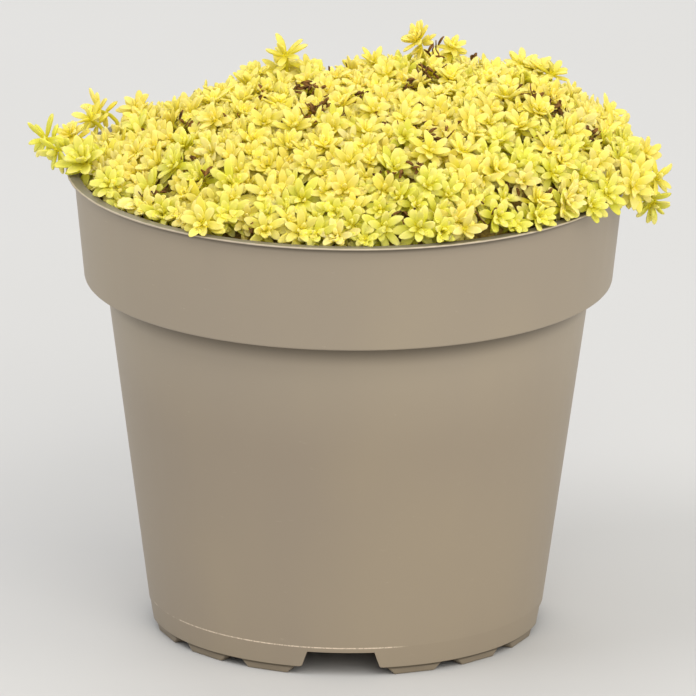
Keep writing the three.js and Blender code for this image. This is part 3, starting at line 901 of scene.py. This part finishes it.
SPRIGS = (
    Sprig((-14.9, 25, 20.2), (-0.1, -0.3, 1), 0.95, SPARSE),
    Sprig((15.4, 27, 23.4), (-0.8, -0.3, 1), 0.8, CUPPED, GOLD),
    Sprig((23.4, 28, 21.4), (0.1, -0.4, 1), 0.65),
    Sprig((39.5, 31, 16.2), (0.2, -0.3, 1), 0.85),
    Sprig((46.8, 27, 15.5), (0.5, -0.2, 1), 0.9, SPARSE),
    Sprig((-58.4, 28, 5.8), (-0.9, -0.4, 0.7), 0.9, SPARSE, GOLD, ((-54, 26, 3.6),)),
    Sprig((-60, 21.5, 5.2), (-0.8, -0.4, 0.7), 0.9, SPARSE, LEMON, ((-57, 20, 3.2),)),
    Sprig((-64.2, 11, 4.4), (-0.6, -0.4, 0.8), 0.8, OPEN, GOLD, ((-60.5, 10, 2.6),)),
    Sprig((-70.2, 5, 5.2), (-0.8, -0.5, 0.3), 0.95, SPARSE, LIME, ((-62, 3, 3.1),)),
    Sprig((-61, -8, 3.6), (-0.35, -0.6, 0.8), 1.1, CUPPED, LIME, ((-59, -7.5, 1.6),)),
    Sprig((67.6, 1.5, 3.4), (0.7, -0.4, 0.5), 0.85, OPEN, GOLD, ((61, 1, 3.4),)),
    Sprig((70.5, -8.5, 1.0), (0.85, -0.5, 0.2), 0.9, SPARSE, LEMON, ((62, -9, 2.6),)),
    Sprig((69.4, -10, -4.8), (0.3, -0.7, -0.5), 0.95, LOOSE, LIME, ((69.2, -10, 0), (62, -10, 2.6))),
    Sprig((65.5, -14.5, 2.4), (0.5, -0.9, 0.5), 1.0, OPEN, LEMON, ((60, -12.5, 1.8),)),
    Sprig((58.5, -27, 2.2), (0.6, -0.8, 0.6), 0.95, OPEN, LIME),
)
OVERHANGS = (
    Sprig((-67.2, -3, 4.4), (-0.7, -0.5, -0.3), 1.0, SPARSE, LIME, ((-61.5, -2, 3.6),)),
    Sprig((-54.5, -24.5, 2.8), (-0.5, -0.8, 0.5), 0.95, OPEN, LIME),
    Sprig((-33, -52, 2.0), (-0.3, -0.9, 0.5), 1.0),
    Sprig((26, -56, 2.4), (0.3, -0.9, 0.4), 0.95, SPARSE, CREAM),
    Sprig((48.5, -38.5, 2.2), (0.6, -0.7, 0.5), 1.05, SPARSE, LIME),
    Sprig((64.5, -18, 1.4), (0.5, -0.8, 0.2), 1.0, OPEN, LEMON, ((60.5, -17, 2.4),)),
    Sprig((-22, 28, 13.8), (-0.4, -0.4, 1), 0.9),
    Sprig((-15.5, 29, 15.2), (0, -0.4, 1), 0.9, CUPPED),
    Sprig((43, 29, 15.8), (0.3, -0.4, 1), 0.85),
    Sprig((59.5, 22, 7.2), (0.7, -0.3, 0.8), 0.85),
    Sprig((55, -34.5, 1.8), (0.6, -0.8, 0.4), 0.85, OPEN, LIME),
    Sprig((-49, 32, 4.8), (-0.3, -0.4, 1), 0.85, OPEN, GOLD),
    Sprig((-9.5, 27, 15.4), (0.3, -0.4, 1), 0.85),
    Sprig((5.4, 31, 16.6), (0.2, -0.4, 1), 0.75),
)


@dataclass(frozen=True)
class Spot:
    """A place on the cushion where withered leaves show, and how many."""

    x: float
    y: float
    leaves: int
    lift: float


WITHERED_SPOTS = [
    Spot(*row)
    for row in (
        (-50, 31, 7, 1.8), (-34.1, 24.1, 8, 1.2), (-43.5, 30.8, 5, 0.9), (-38.2, -5.1, 4, 0.8),
        (-23.9, -7.9, 5, 0.8), (-9.4, 4.4, 15, 1.2), (-7.4, -12.5, 15, 1.2), (-3.7, 29, 9, 1.2),
        (1.8, -3.9, 12, 1.1), (5.8, 35.3, 7, 1.8), (16.8, 12.9, 13, 1.2), (15, 6.5, 6, 0.9),
        (18.8, 26.8, 6, 4.6), (28.1, 36.3, 8, 1.2), (43.3, -1.5, 18, 1.4), (46, -4.2, 16, 1.3),
        (37.1, 1.4, 5, 0.8), (54.5, -9.2, 8, 1.1), (19.6, -30.1, 14, 1.2), (13.6, -43.2, 8, 1.0),
        (7.4, -46.1, 5, 0.8), (11.5, -25.1, 5, 0.8), (33, -52.2, 6, 1.8), (38.4, -41.9, 6, -1.4),
        (46, -37.9, 5, -1.4), (14, -56.5, 6, 0.9), (-22, -54.5, 6, 0.9), (-36.1, -27.7, 7, 0.7),
        (-32, -35.1, 6, 0.7), (-43.3, -33.3, 6, 0.9), (-55.5, -18.7, 10, 1.2),
    )
]


@dataclass
class Planting:
    """Where every shoot grows. The main ones are those of the CAD source, and smaller ones fill between them."""

    cushion: Cushion
    shoot_rings: tuple[int, float, float] = (7, 9.1, 0.955)
    tuft_rings: tuple[int, float, float] = (3, 18.0, 0.83)
    ring_turn: float = 0.4
    place_jitter: float = 2.4
    sprig_room: float = 5.8
    height_jitter: float = 1.6
    lean_jitter: float = 0.8
    smallest: float = 0.94
    size_spread: float = 0.16
    six_leaved_share: float = 0.45
    seed: int = 20871
    filler_tries: int = 9000
    filler_room: float = 3.65
    filler_smallest: float = 0.8
    filler_sunk: float = 1.4
    bare_room: float = 4.1
    bare_leaves: int = 8
    lean_out: float = 0.55
    lean_front: float = 0.42
    crown_vigour: float = 0.8
    edge_vigour: float = 0.16
    filler_edge: float = 0.985
    filler_seed: int = 411
    tip_over: float = 0.42

    def _rings(self, rings: int, pitch: float, edge: float) -> list[Vector]:
        """Places in rings about the middle, each ring a little turned against the next."""
        places = []
        for ring in range(rings + 1):
            share = edge * ring / rings
            count = max(1, math.floor(FULL_TURN * share * self.cushion.radius / pitch + 0.5))
            for k in range(count):
                angle = (k + self.ring_turn * ring) * FULL_TURN / count
                radius = share * self.cushion.reach(angle)
                places.append(Vector((radius * math.cos(angle), radius * math.sin(angle))))
        return places

    def tuft_centres(self) -> list[Vector]:
        """The middle of each tuft in plan, in the order of the CAD nodes."""
        return self._rings(*self.tuft_rings)

    def _stray_shoots(self, sprigs: Sequence[Sprig], draw: Draw) -> list[Shoot]:
        """The shoots that break out of the cushion or lean over the lip."""
        lip = UP * self.cushion.pot_height
        shoots = []
        for sprig in sprigs:
            head, *bends = (Vector(p) + lip for p in (sprig.head, *sprig.bends))
            lean, turn = Vector(sprig.lean).normalized(), draw() * math.pi
            shoots.append(Shoot(head, lean, sprig.size, 6, turn, bends, sprig.habit, sprig.tone, stray=True))
        return shoots

    def _main_shoots(self) -> list[Shoot]:
        """The shoots of the CAD source, drawn in the same order."""
        draw = Draw(self.seed)
        strays = self._stray_shoots(SPRIGS, draw)
        shoots = list(strays)
        for place in self._rings(*self.shoot_rings):
            x = place.x + (draw() - 0.5) * self.place_jitter
            y = place.y + (draw() - 0.5) * self.place_jitter
            lift = (draw() - 0.5) * self.height_jitter
            lean = Vector((draw() - 0.5, draw() - 0.5, 0)) * self.lean_jitter
            shoot = Shoot(
                head=self.cushion.place(x, y, lift),
                axis=(self.cushion.growth(x, y) + lean).normalized(),
                size=self.smallest + self.size_spread * draw(),
                leaves=6 if draw() < self.six_leaved_share else 5,
                turn=draw() * math.pi,
            )
            if all(math.hypot(s.head.x - x, s.head.y - y) >= self.sprig_room for s in strays):
                shoots.append(shoot)
        return shoots

    def _make_way(self, shoots: Sequence[Shoot]) -> None:
        """Moves shoots aside where a large cluster of withered leaves shows."""
        for spot in (s for s in WITHERED_SPOTS if s.leaves >= self.bare_leaves):
            middle = Vector((spot.x, spot.y))
            for shoot in shoots:
                gap = shoot.head.xy - middle
                if not shoot.stray and gap.length < self.bare_room:
                    shoot.head.xy = middle + gap.normalized() * self.bare_room

    def _fillers(self, shoots: Sequence[Shoot], draw: Draw) -> list[Shoot]:
        """Smaller shoots in the gaps between those that are there already."""
        heads = [s.head.xy for s in shoots]
        bare = [Vector((s.x, s.y)) for s in WITHERED_SPOTS]
        added = []
        for _ in range(self.filler_tries):
            place = Vector(self.cushion.somewhere(draw, self.filler_edge))
            crowded = any((place - other).length < self.filler_room for other in heads)
            if crowded or any((place - other).length < self.bare_room for other in bare):
                continue
            heads.append(place)
            lean = draw.lean(0.5, 0.5, 0)
            sunk = self.filler_sunk * (1 - self.cushion.share(*place) ** 8)
            head = self.cushion.place(*place, draw.spread(0.9) - sunk)
            axis = (self.cushion.growth(*place) + lean).normalized()
            added.append(Shoot(head, axis, self.filler_smallest + 0.25 * draw(), 5, draw() * math.pi))
        return added

    def grow(self) -> list[Shoot]:
        """Every shoot, with its habit and its tone."""
        draw = Draw(self.filler_seed)
        shoots = self._main_shoots() + self._stray_shoots(OVERHANGS, Draw(self.seed + 1))
        self._make_way(shoots)
        shoots += self._fillers(shoots, draw)
        LOG.info("%d shoots", len(shoots))
        for shoot in (s for s in shoots if not s.stray):
            tip = draw.lean(self.tip_over, self.tip_over, 0)
            out = shoot.head.xy.to_3d() * self.lean_out / self.cushion.radius
            out.y -= self.lean_front * (1 - max(out.y / self.lean_out, 0) ** 2)
            shoot.axis = (shoot.axis + tip + out).normalized()
            x, y = shoot.head.xy
            frontness = 0.5 - 0.5 * y / self.cushion.radius
            edgeness = self.cushion.share(x, y) ** 3 * frontness
            shoot.size *= self.crown_vigour + self.edge_vigour * edgeness
            shoot.habit = self._habit(draw())
            shoot.tone = self._tone(x, y, edgeness, draw())
        return shoots

    @staticmethod
    def _habit(chance: float) -> Habit:
        """Most shoots are open stars, some are cupped, a few are drawn out."""
        if chance < 0.58:
            return OPEN
        return CUPPED if chance < 0.86 else DRAWN

    def _tone(self, x: float, y: float, edgeness: float, chance: float) -> Tone:
        """Greener low down at the front and right, more golden at the back and left."""
        radius = self.cushion.radius
        gold = 0.12 + 0.14 * (0.5 + 0.5 * (y - x) / radius)
        if chance < 0.06 + (0.6 + 0.4 * max(x, 0) / radius) * edgeness:
            return LIME
        if chance > 1 - gold:
            return GOLD
        return CREAM if chance > 1 - gold - 0.07 else LEMON


def leafy_shape() -> BMesh:
    """Starts a shape that keeps each leaf's tint, its paleness and the share of its length."""
    shape = bmesh.new()
    shape.verts.layers.float.new("along")
    shape.verts.layers.float.new("paleness")
    shape.verts.layers.float_color.new("tint")
    return shape


@dataclass(frozen=True)
class LeafForm:
    """One grown form of leaf, one unit long, wide and thick: plump, blunt, its margins a little raised."""

    curl: float
    bluntness: float = 2.2
    sides: int = 8
    rings: int = 6
    base_width: float = 0.4
    widest: float = 0.55
    trough: float = 0.45

    def _half_width(self, share: float) -> float:
        """Half of the leaf's width at a share of its length."""
        if share < self.widest:
            return 0.5 * between(self.base_width, 1.0, math.sin(math.pi / 2 * share / self.widest))
        return 0.5 * max(0.0, 1 - ((share - self.widest) / (1 - self.widest)) ** self.bluntness) ** 0.6

    def template(self, name: str) -> Mesh:
        """Shapes a ball into the leaf.

        Args:
            name: The mesh's name.

        Returns:
            A mesh from its base at 0 to its tip at 1 along X, with its upper side towards +Z.
        """
        shape = leafy_shape()
        along = shape.verts.layers.float["along"]
        ball = Matrix.Rotation(math.pi / 2, 4, "Y")
        bmesh.ops.create_uvsphere(shape, u_segments=self.sides, v_segments=self.rings, radius=1, matrix=ball)
        for vert in shape.verts:
            share = (vert.co.x + 1) / 2
            ring = math.hypot(vert.co.y, vert.co.z)
            side, lift = (vert.co.y / ring, vert.co.z / ring) if ring > 1e-4 else (0.0, 0.0)
            half = self._half_width(share) if ring > 1e-4 else 0.0
            body = math.sqrt(max(0.0, 1 - (2 * share - 1) ** 4)) * lift * (0.3 if lift > 0 else 0.5)
            margin = self.trough * side**2 * 2 * half
            vert.co = Vector((share, side * half, body + margin + self.curl * share**2))
            vert[along] = share
        return freed(shape, name)


@dataclass(frozen=True)
class Whorl:
    """One ring of leaves on a shoot. Its leaves open from the shoot's axis, and young is 0 old to 1 young."""

    open_deg: float
    length: float
    width: float
    thickness: float
    rise: float
    young: float
    count: int | None = None
    coarse: bool = False


LOW_LEAVES = Whorl(102, 4.8, 2.1, 0.9, -2.2, 0.0, coarse=True)
HEART_LEAVES = Whorl(28, 2.8, 1.3, 0.85, 0.7, 1.0, count=3)
WHORLS = {
    OPEN: (LOW_LEAVES, Whorl(84, 5.6, 2.4, 0.9, -0.5, 0.4), Whorl(60, 4.8, 2.15, 0.85, 0.2, 0.8), HEART_LEAVES),
    CUPPED: (LOW_LEAVES, Whorl(64, 5.7, 2.5, 0.9, -0.6, 0.4), Whorl(40, 4.6, 2.2, 0.85, 0.1, 0.8), HEART_LEAVES),
    DRAWN: (
        Whorl(100, 4.3, 1.9, 0.9, -5.0, 0.0, coarse=True),
        Whorl(86, 5.0, 2.1, 0.9, -2.3, 0.25),
        Whorl(66, 5.4, 2.2, 0.9, -0.2, 0.5),
        Whorl(41, 4.4, 1.9, 0.85, 0.8, 0.8),
        HEART_LEAVES,
    ),
    LOOSE: (
        Whorl(112, 3.8, 1.8, 0.85, -4.4, 0.1, 4, coarse=True),
        Whorl(88, 4.6, 2.0, 0.85, -1.5, 0.3, 5),
        Whorl(62, 4.9, 2.0, 0.85, -0.1, 0.6, 5),
        Whorl(30, 3.8, 1.7, 0.85, 0.5, 0.9, 4),
    ),
    SPARSE: (
        Whorl(104, 4.4, 1.9, 0.85, -2.6, 0.1, 3, coarse=True),
        Whorl(80, 5.6, 2.0, 0.85, -0.5, 0.4, 5),
        Whorl(42, 4.8, 1.9, 0.85, 0.2, 0.8, 3),
    ),
}


@dataclass
class Foliage:
    """The shoots' leaves and stems, in one piece for each tuft of the CAD model."""

    planting: Planting
    pot: NurseryPot
    flesh: Material
    seed: int = 97
    turn_jitter_deg: float = 15.0
    open_jitter_deg: float = 13.0
    size_jitter: float = 0.2
    roll_jitter_deg: float = 18.0
    axis_clearance: float = 0.35
    pot_clearance: float = 0.3
    stem_radius: float = 0.55
    stem_sides: int = 6
    stem_colour: Colour = (184, 176, 72)
    root_reach: float = 56.0
    root_depth: float = 6.0

    def __post_init__(self) -> None:
        """Shapes the leaf forms that all the shoots share."""
        self.draw = Draw(self.seed)
        curls = ((-0.5, 2.0), (0.0, 2.6), (0.3, 2.2), (0.7, 2.4), (0.2, 1.7), (-0.8, 2.2))
        self.fine = [LeafForm(c, b).template(f"leaf_{i}") for i, (c, b) in enumerate(curls)]
        low = enumerate(curls[1:4])
        self.coarse = [LeafForm(c, b, sides=6, rings=4).template(f"low_leaf_{i}") for i, (c, b) in low]

    def _leaf_frame(self, shoot: Shoot, whorl: Whorl, angle: float, opened: float, length: float) -> Matrix:
        """Places a leaf on its shoot.

        Args:
            shoot: The shoot.
            whorl: The leaf's ring.
            angle: Where round the axis it stands.
            opened: How far it opens from the axis.
            length: The leaf's length.

        Returns:
            The matrix that takes a leaf form there.
        """
        across = shoot.axis.cross(Vector((0.3, 1, 0.1))).normalized()
        spoke = across * math.cos(angle) + shoot.axis.cross(across) * math.sin(angle)
        out = spoke * math.sin(opened) + shoot.axis * math.cos(opened)
        top = shoot.axis * math.sin(opened) - spoke * math.cos(opened)
        base = shoot.head + shoot.axis * whorl.rise * shoot.size + spoke * self.axis_clearance * shoot.size
        axes = Matrix((out, top.cross(out), top)).transposed().to_4x4()
        size = Matrix.Diagonal((length, whorl.width * shoot.size, whorl.thickness * shoot.size, 1))
        return Matrix.Translation(base) @ axes @ size

    def _fitted(self, shoot: Shoot, whorl: Whorl, angle: float) -> Matrix | None:
        """Finds a lie for a leaf that keeps clear of the pot: raised and shortened until it does."""
        opened = math.radians(whorl.open_deg + self.draw.spread(self.open_jitter_deg))
        length = whorl.length * shoot.size * (1 + self.draw.spread(self.size_jitter))
        roll = Matrix.Rotation(math.radians(self.draw.spread(self.roll_jitter_deg)), 4, "X")
        for _ in range(8):
            lie = self._leaf_frame(shoot, whorl, angle, opened, length)
            marks = [lie @ Vector((share, 0, -0.3)) for share in (0.15, 0.4, 0.6, 0.8, 1.0)]
            if not any(self.pot.meets(mark, self.pot_clearance) for mark in marks):
                return lie @ roll
            opened *= 0.88
            length *= 0.96
        return None

    def _tint(self, shoot: Shoot, whorl: Whorl) -> list[float]:
        """Colour of one leaf: between its rosette's older and younger colour, a little lighter or darker."""
        young, old = (linear(c)[:3] for c in shoot.tone.value)
        share = min(max(whorl.young + self.draw.spread(0.25), 0), 1)
        light = 1 + self.draw.spread(0.08)
        return [min(between(o, y, share) * light, 1.0) for o, y in zip(old, young)] + [1.0]

    def _add_leaf(self, shape: BMesh, shoot: Shoot, whorl: Whorl, angle: float) -> None:
        """Adds one leaf to a tuft's shape, if it finds a lie."""
        jitter = math.radians(self.draw.spread(self.turn_jitter_deg))
        lie = self._fitted(shoot, whorl, angle + jitter)
        form = self.draw.pick(self.coarse if whorl.coarse else self.fine)
        tint = self._tint(shoot, whorl)
        paleness = 0.15 + 0.6 * self.draw()
        if lie:
            leaf = form.copy()
            leaf.transform(lie)
            count = len(leaf.vertices)
            leaf.attributes["tint"].data.foreach_set("color", tint * count)
            leaf.attributes["paleness"].data.foreach_set("value", [paleness] * count)
            absorb(shape, leaf)

    def _add_rosette(self, shape: BMesh, shoot: Shoot) -> None:
        """Adds a shoot's whorls of leaves, each ring set between the leaves of the one below."""
        for level, whorl in enumerate(WHORLS[shoot.habit]):
            count = whorl.count or shoot.leaves
            step = FULL_TURN / count
            offset = shoot.turn + (step / 2 if level % 2 == 0 else 0)
            for k in range(count):
                self._add_leaf(shape, shoot, whorl, offset + k * step)

    def _stem_path(self, shoot: Shoot) -> list[Vector]:
        """The line of a shoot's stem from its head into the mat of old stems, smooth through its bends."""
        neck = shoot.head - shoot.axis * 1.2 * shoot.size
        last = shoot.bends[-1] if shoot.bends else neck - shoot.axis * 4
        inward = last.xy * min(1.0, self.root_reach / max(last.xy.length, 1))
        root = self.planting.cushion.place(*inward, -self.root_depth)
        points = [shoot.head + shoot.axis * 0.6, neck, *shoot.bends, root]
        steps = 3 if shoot.bends else 1
        path = []
        for before, start, end, after in zip([points[0], *points], points, points[1:], [*points[2:], root]):
            handles = start + (end - before) / 6, end - (after - start) / 6
            path += interpolate_bezier(start, *handles, end, steps + 1)[:-1]
        return [*path, root]

    def _add_stem(self, shape: BMesh, shoot: Shoot) -> None:
        """Draws a round stem along its path."""
        tint, colour = shape.verts.layers.float_color["tint"], linear(self.stem_colour)
        for vert in sweep(shape, self._stem_path(shoot), self.stem_radius * shoot.size, self.stem_sides):
            vert[tint] = colour

    def build(self, workshop: Workshop) -> None:
        """Builds each tuft's foliage and puts it in the place of its CAD node."""
        centres = self.planting.tuft_centres()
        members: list[list[Shoot]] = [[] for _ in centres]
        for shoot in self.planting.grow():
            gaps = [(centre - shoot.head.xy).length for centre in centres]
            members[gaps.index(min(gaps))].append(shoot)
        for number, shoots in enumerate(members, 1):
            shape = leafy_shape()
            for shoot in shoots:
                self._add_stem(shape, shoot)
                self._add_rosette(shape, shoot)
            workshop.piece(shape, f"leafy_tuft_{number:02d}", "foliage", self.flesh, f"tuft_{number:02d}")


@dataclass
class OldGrowth:
    """The mat of old stems under the rosettes: a low dome, rough on top and closed underneath."""

    cushion: Cushion
    foot_z: float
    radius: float = 59.4
    rim: float = 4.0
    depth: float = 4.9
    sides: int = 150
    rings: int = 52

    def build(self, workshop: Workshop) -> None:
        """Builds the mat."""
        rim_z = self.foot_z + self.rim
        profile = [(0, self.foot_z), (self.radius, self.foot_z), (self.radius, rim_z), (0, rim_z)]
        shape = turned(profile, self.rings, self.sides)
        for vert in shape.verts:
            if vert.co.z > rim_z - TINY:
                lump = 1.3 * noise.noise(vert.co * 0.22) + 0.7 * noise.noise(vert.co * 0.7)
                vert.co.z = self.cushion.height(vert.co.x, vert.co.y) - self.depth + lump
        straw = DryStalk("old_stems", (84, 62, 28), (172, 146, 66), 260)
        workshop.piece(shape, "old_stem_mat", "foliage", straw.material())


@dataclass
class WitheredLeaves:
    """Small brown leaves and twigs, dried and twisted, in clusters between the rosettes."""

    cushion: Cushion
    pot: NurseryPot
    seed: int = 31
    scatter: float = 2.4
    stray_spots: int = 70
    sunk: float = 0.2
    leaf_room: float = 4.0
    twig_room: float = 1.0
    twig_radius: float = 0.22
    twig_taper: float = 0.6

    def _stray_spots(self, draw: Draw) -> list[Spot]:
        """Places where a few withered leaves show, more of them towards the back."""
        spots = []
        for _ in range(self.stray_spots):
            x, y = self.cushion.somewhere(draw, 0.9)
            spots.append(Spot(x, between(y, 0.5 * self.cushion.radius, 0.25), 3, -0.5 + draw.spread(0.6)))
        return spots

    def _near(self, spot: Spot, draw: Draw) -> Vector:
        """A place near a spot's middle, on the cushion."""
        x, y = spot.x + draw.spread(self.scatter), spot.y + draw.spread(self.scatter)
        return self.cushion.place(x, y, spot.lift - self.sunk)

    def _add_leaf(self, shape: BMesh, spot: Spot, forms: Sequence[Mesh], draw: Draw) -> None:
        """Adds one shrunken leaf, turned and rolled at random."""
        place = self._near(spot, draw)
        place.z += draw.spread(0.7)
        lie = Matrix.Rotation(draw() * FULL_TURN, 4, "Z") @ Matrix.Rotation(draw.spread(1.1), 4, "Y")
        lie = Matrix.Translation(place) @ lie @ Matrix.Rotation(draw.spread(1.5), 4, "X")
        lie = lie @ Matrix.Diagonal((1.5 + 1.6 * draw(), 0.6 + 0.45 * draw(), 0.4, 1))
        form = draw.pick(forms)
        if not self.pot.meets(place, self.leaf_room):
            leaf = form.copy()
            leaf.transform(lie)
            absorb(shape, leaf)

    def _add_twig(self, shape: BMesh, spot: Spot, draw: Draw) -> None:
        """Adds one thin dry stem, bent as it dried."""
        path = [self._near(spot, draw) - UP]
        ahead = draw.lean(1, 1, 0.4, 0.3).normalized()
        for _ in range(4):
            ahead = (ahead + draw.lean(0.5, 0.5, 0.4)).normalized()
            path.append(path[-1] + ahead * (0.8 + 0.5 * draw()))
        if not any(self.pot.meets(point, self.twig_room) for point in path):
            sweep(shape, path, self.twig_radius, 5, self.twig_taper)

    def build(self, workshop: Workshop) -> None:
        """Builds all the withered leaves as one piece."""
        draw = Draw(self.seed)
        curls = enumerate((-0.35, 0.3, 0.55))
        forms = [LeafForm(c, 1.8, sides=6, rings=5, trough=1.2).template(f"withered_{i}") for i, c in curls]
        shape = bmesh.new()
        for spot in (*WITHERED_SPOTS, *self._stray_spots(draw)):
            for _ in range(spot.leaves):
                self._add_leaf(shape, spot, forms, draw)
            for _ in range(spot.leaves // 3):
                self._add_twig(shape, spot, draw)
        brown = DryStalk("withered_leaf", (58, 36, 17), (158, 112, 54), 420)
        workshop.piece(shape, "withered_leaves", "foliage", brown.material())


# The studio


@dataclass(frozen=True)
class Viewpoint:
    """The photograph's camera: far off, a little above, with the pot's middle in the frame."""

    down_deg: float = 16.942
    distance: float = 4.001
    target_z: float = 0.05514
    pitch: float = 0.002374
    roll_deg: float = 0.475
    focal_px: float = 17358.264
    frame_px: int = 696
    sensor_mm: float = 36.0

    def build(self) -> None:
        """Creates the camera and makes it the scene's own."""
        down = math.radians(self.down_deg)
        ahead = Vector((0, math.cos(down), -math.sin(down)))
        data = bpy.data.cameras.new("photo_camera")
        data.sensor_width = self.sensor_mm
        data.lens = self.focal_px / self.frame_px * self.sensor_mm
        data.clip_end = 50
        camera = stand("photo_camera", data)
        tilt = Matrix.Rotation(math.pi / 2 - down + self.pitch, 4, "X")
        roll = Matrix.Rotation(math.radians(self.roll_deg), 4, "Z")
        camera.matrix_world = Matrix.Translation(UP * self.target_z - ahead * self.distance) @ tilt @ roll
        bpy.context.scene.camera = camera
        LOG.info("camera %.0f mm, %.2f m off", data.lens, self.distance)


@dataclass(frozen=True)
class SoftBox:
    """One square studio light, aimed at the plant."""

    name: str
    position: Point
    size: float
    power: float
    colour: Colour = (255, 255, 255)
    aim_z: float = 0.08

    def build(self) -> None:
        """Hangs the light and turns it to the plant."""
        data = bpy.data.lights.new(self.name, "AREA")
        data.shape = "SQUARE"
        data.size = self.size
        data.energy = self.power
        data.color = linear(self.colour)[:3]
        light = stand(self.name, data)
        light.location = self.position
        aim = Vector((0, 0, self.aim_z)) - Vector(self.position)
        light.rotation_euler = aim.to_track_quat("-Z", "Y").to_euler()


@dataclass
class Studio:
    """The pale floor, the soft lights and the plain bright surroundings."""

    floor_radius: float = 9.0
    sky: float = 0.77
    boxes: tuple[SoftBox, ...] = (
        SoftBox("front_light", (0.6, -1.95, 1.6), 2.0, 31.5, (255, 251, 243)),
        SoftBox("left_light", (-1.5, -0.7, 2.3), 1.2, 18.0, (255, 253, 251)),
        SoftBox("right_light", (2.0, -0.6, 1.5), 1.2, 10.0, (255, 245, 226)),
        SoftBox("back_light", (-0.2, 1.6, 1.7), 1.2, 10.0),
    )

    def build(self) -> None:
        """Lays the floor and sets up the lights."""
        shape = bmesh.new()
        bmesh.ops.create_circle(shape, cap_ends=True, segments=64, radius=self.floor_radius)
        mesh = freed(shape, "studio_floor")
        mesh.materials.append(StudioPaper().material())
        stand("studio_floor", mesh)
        for box in self.boxes:
            box.build()
        world = bpy.data.worlds.new("studio_sky")
        world.use_nodes = True
        sky = world.node_tree.nodes["Background"].inputs
        sky["Strength"].default_value = self.sky
        sky["Color"].default_value = (1, 1, 1, 1)
        bpy.context.scene.world = world
        bpy.context.scene.view_settings.view_transform = "Standard"


def main() -> None:
    """Builds the studio and every piece of the potted stonecrop."""
    logging.basicConfig(level=logging.INFO, format="%(name)s: %(message)s")
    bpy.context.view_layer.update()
    Viewpoint().build()
    Studio().build()
    workshop = Workshop()
    pot_low, pot_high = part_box("pot")
    pot = NurseryPot(height=pot_high.z / MM, lip_radius=(pot_high.x - pot_low.x) / 2 / MM)
    pot.build(workshop)
    soil_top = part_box("soil")[1].z / MM
    Compost(pot, soil_top).build(workshop)
    cushion = Cushion(pot.height)
    OldGrowth(cushion, soil_top + 0.3).build(workshop)
    Foliage(Planting(cushion), pot, LeafFlesh().material()).build(workshop)
    WitheredLeaves(cushion, pot).build(workshop)
    LOG.info("%d faces in all", workshop.faces)


if __name__ == "__main__":
    main()
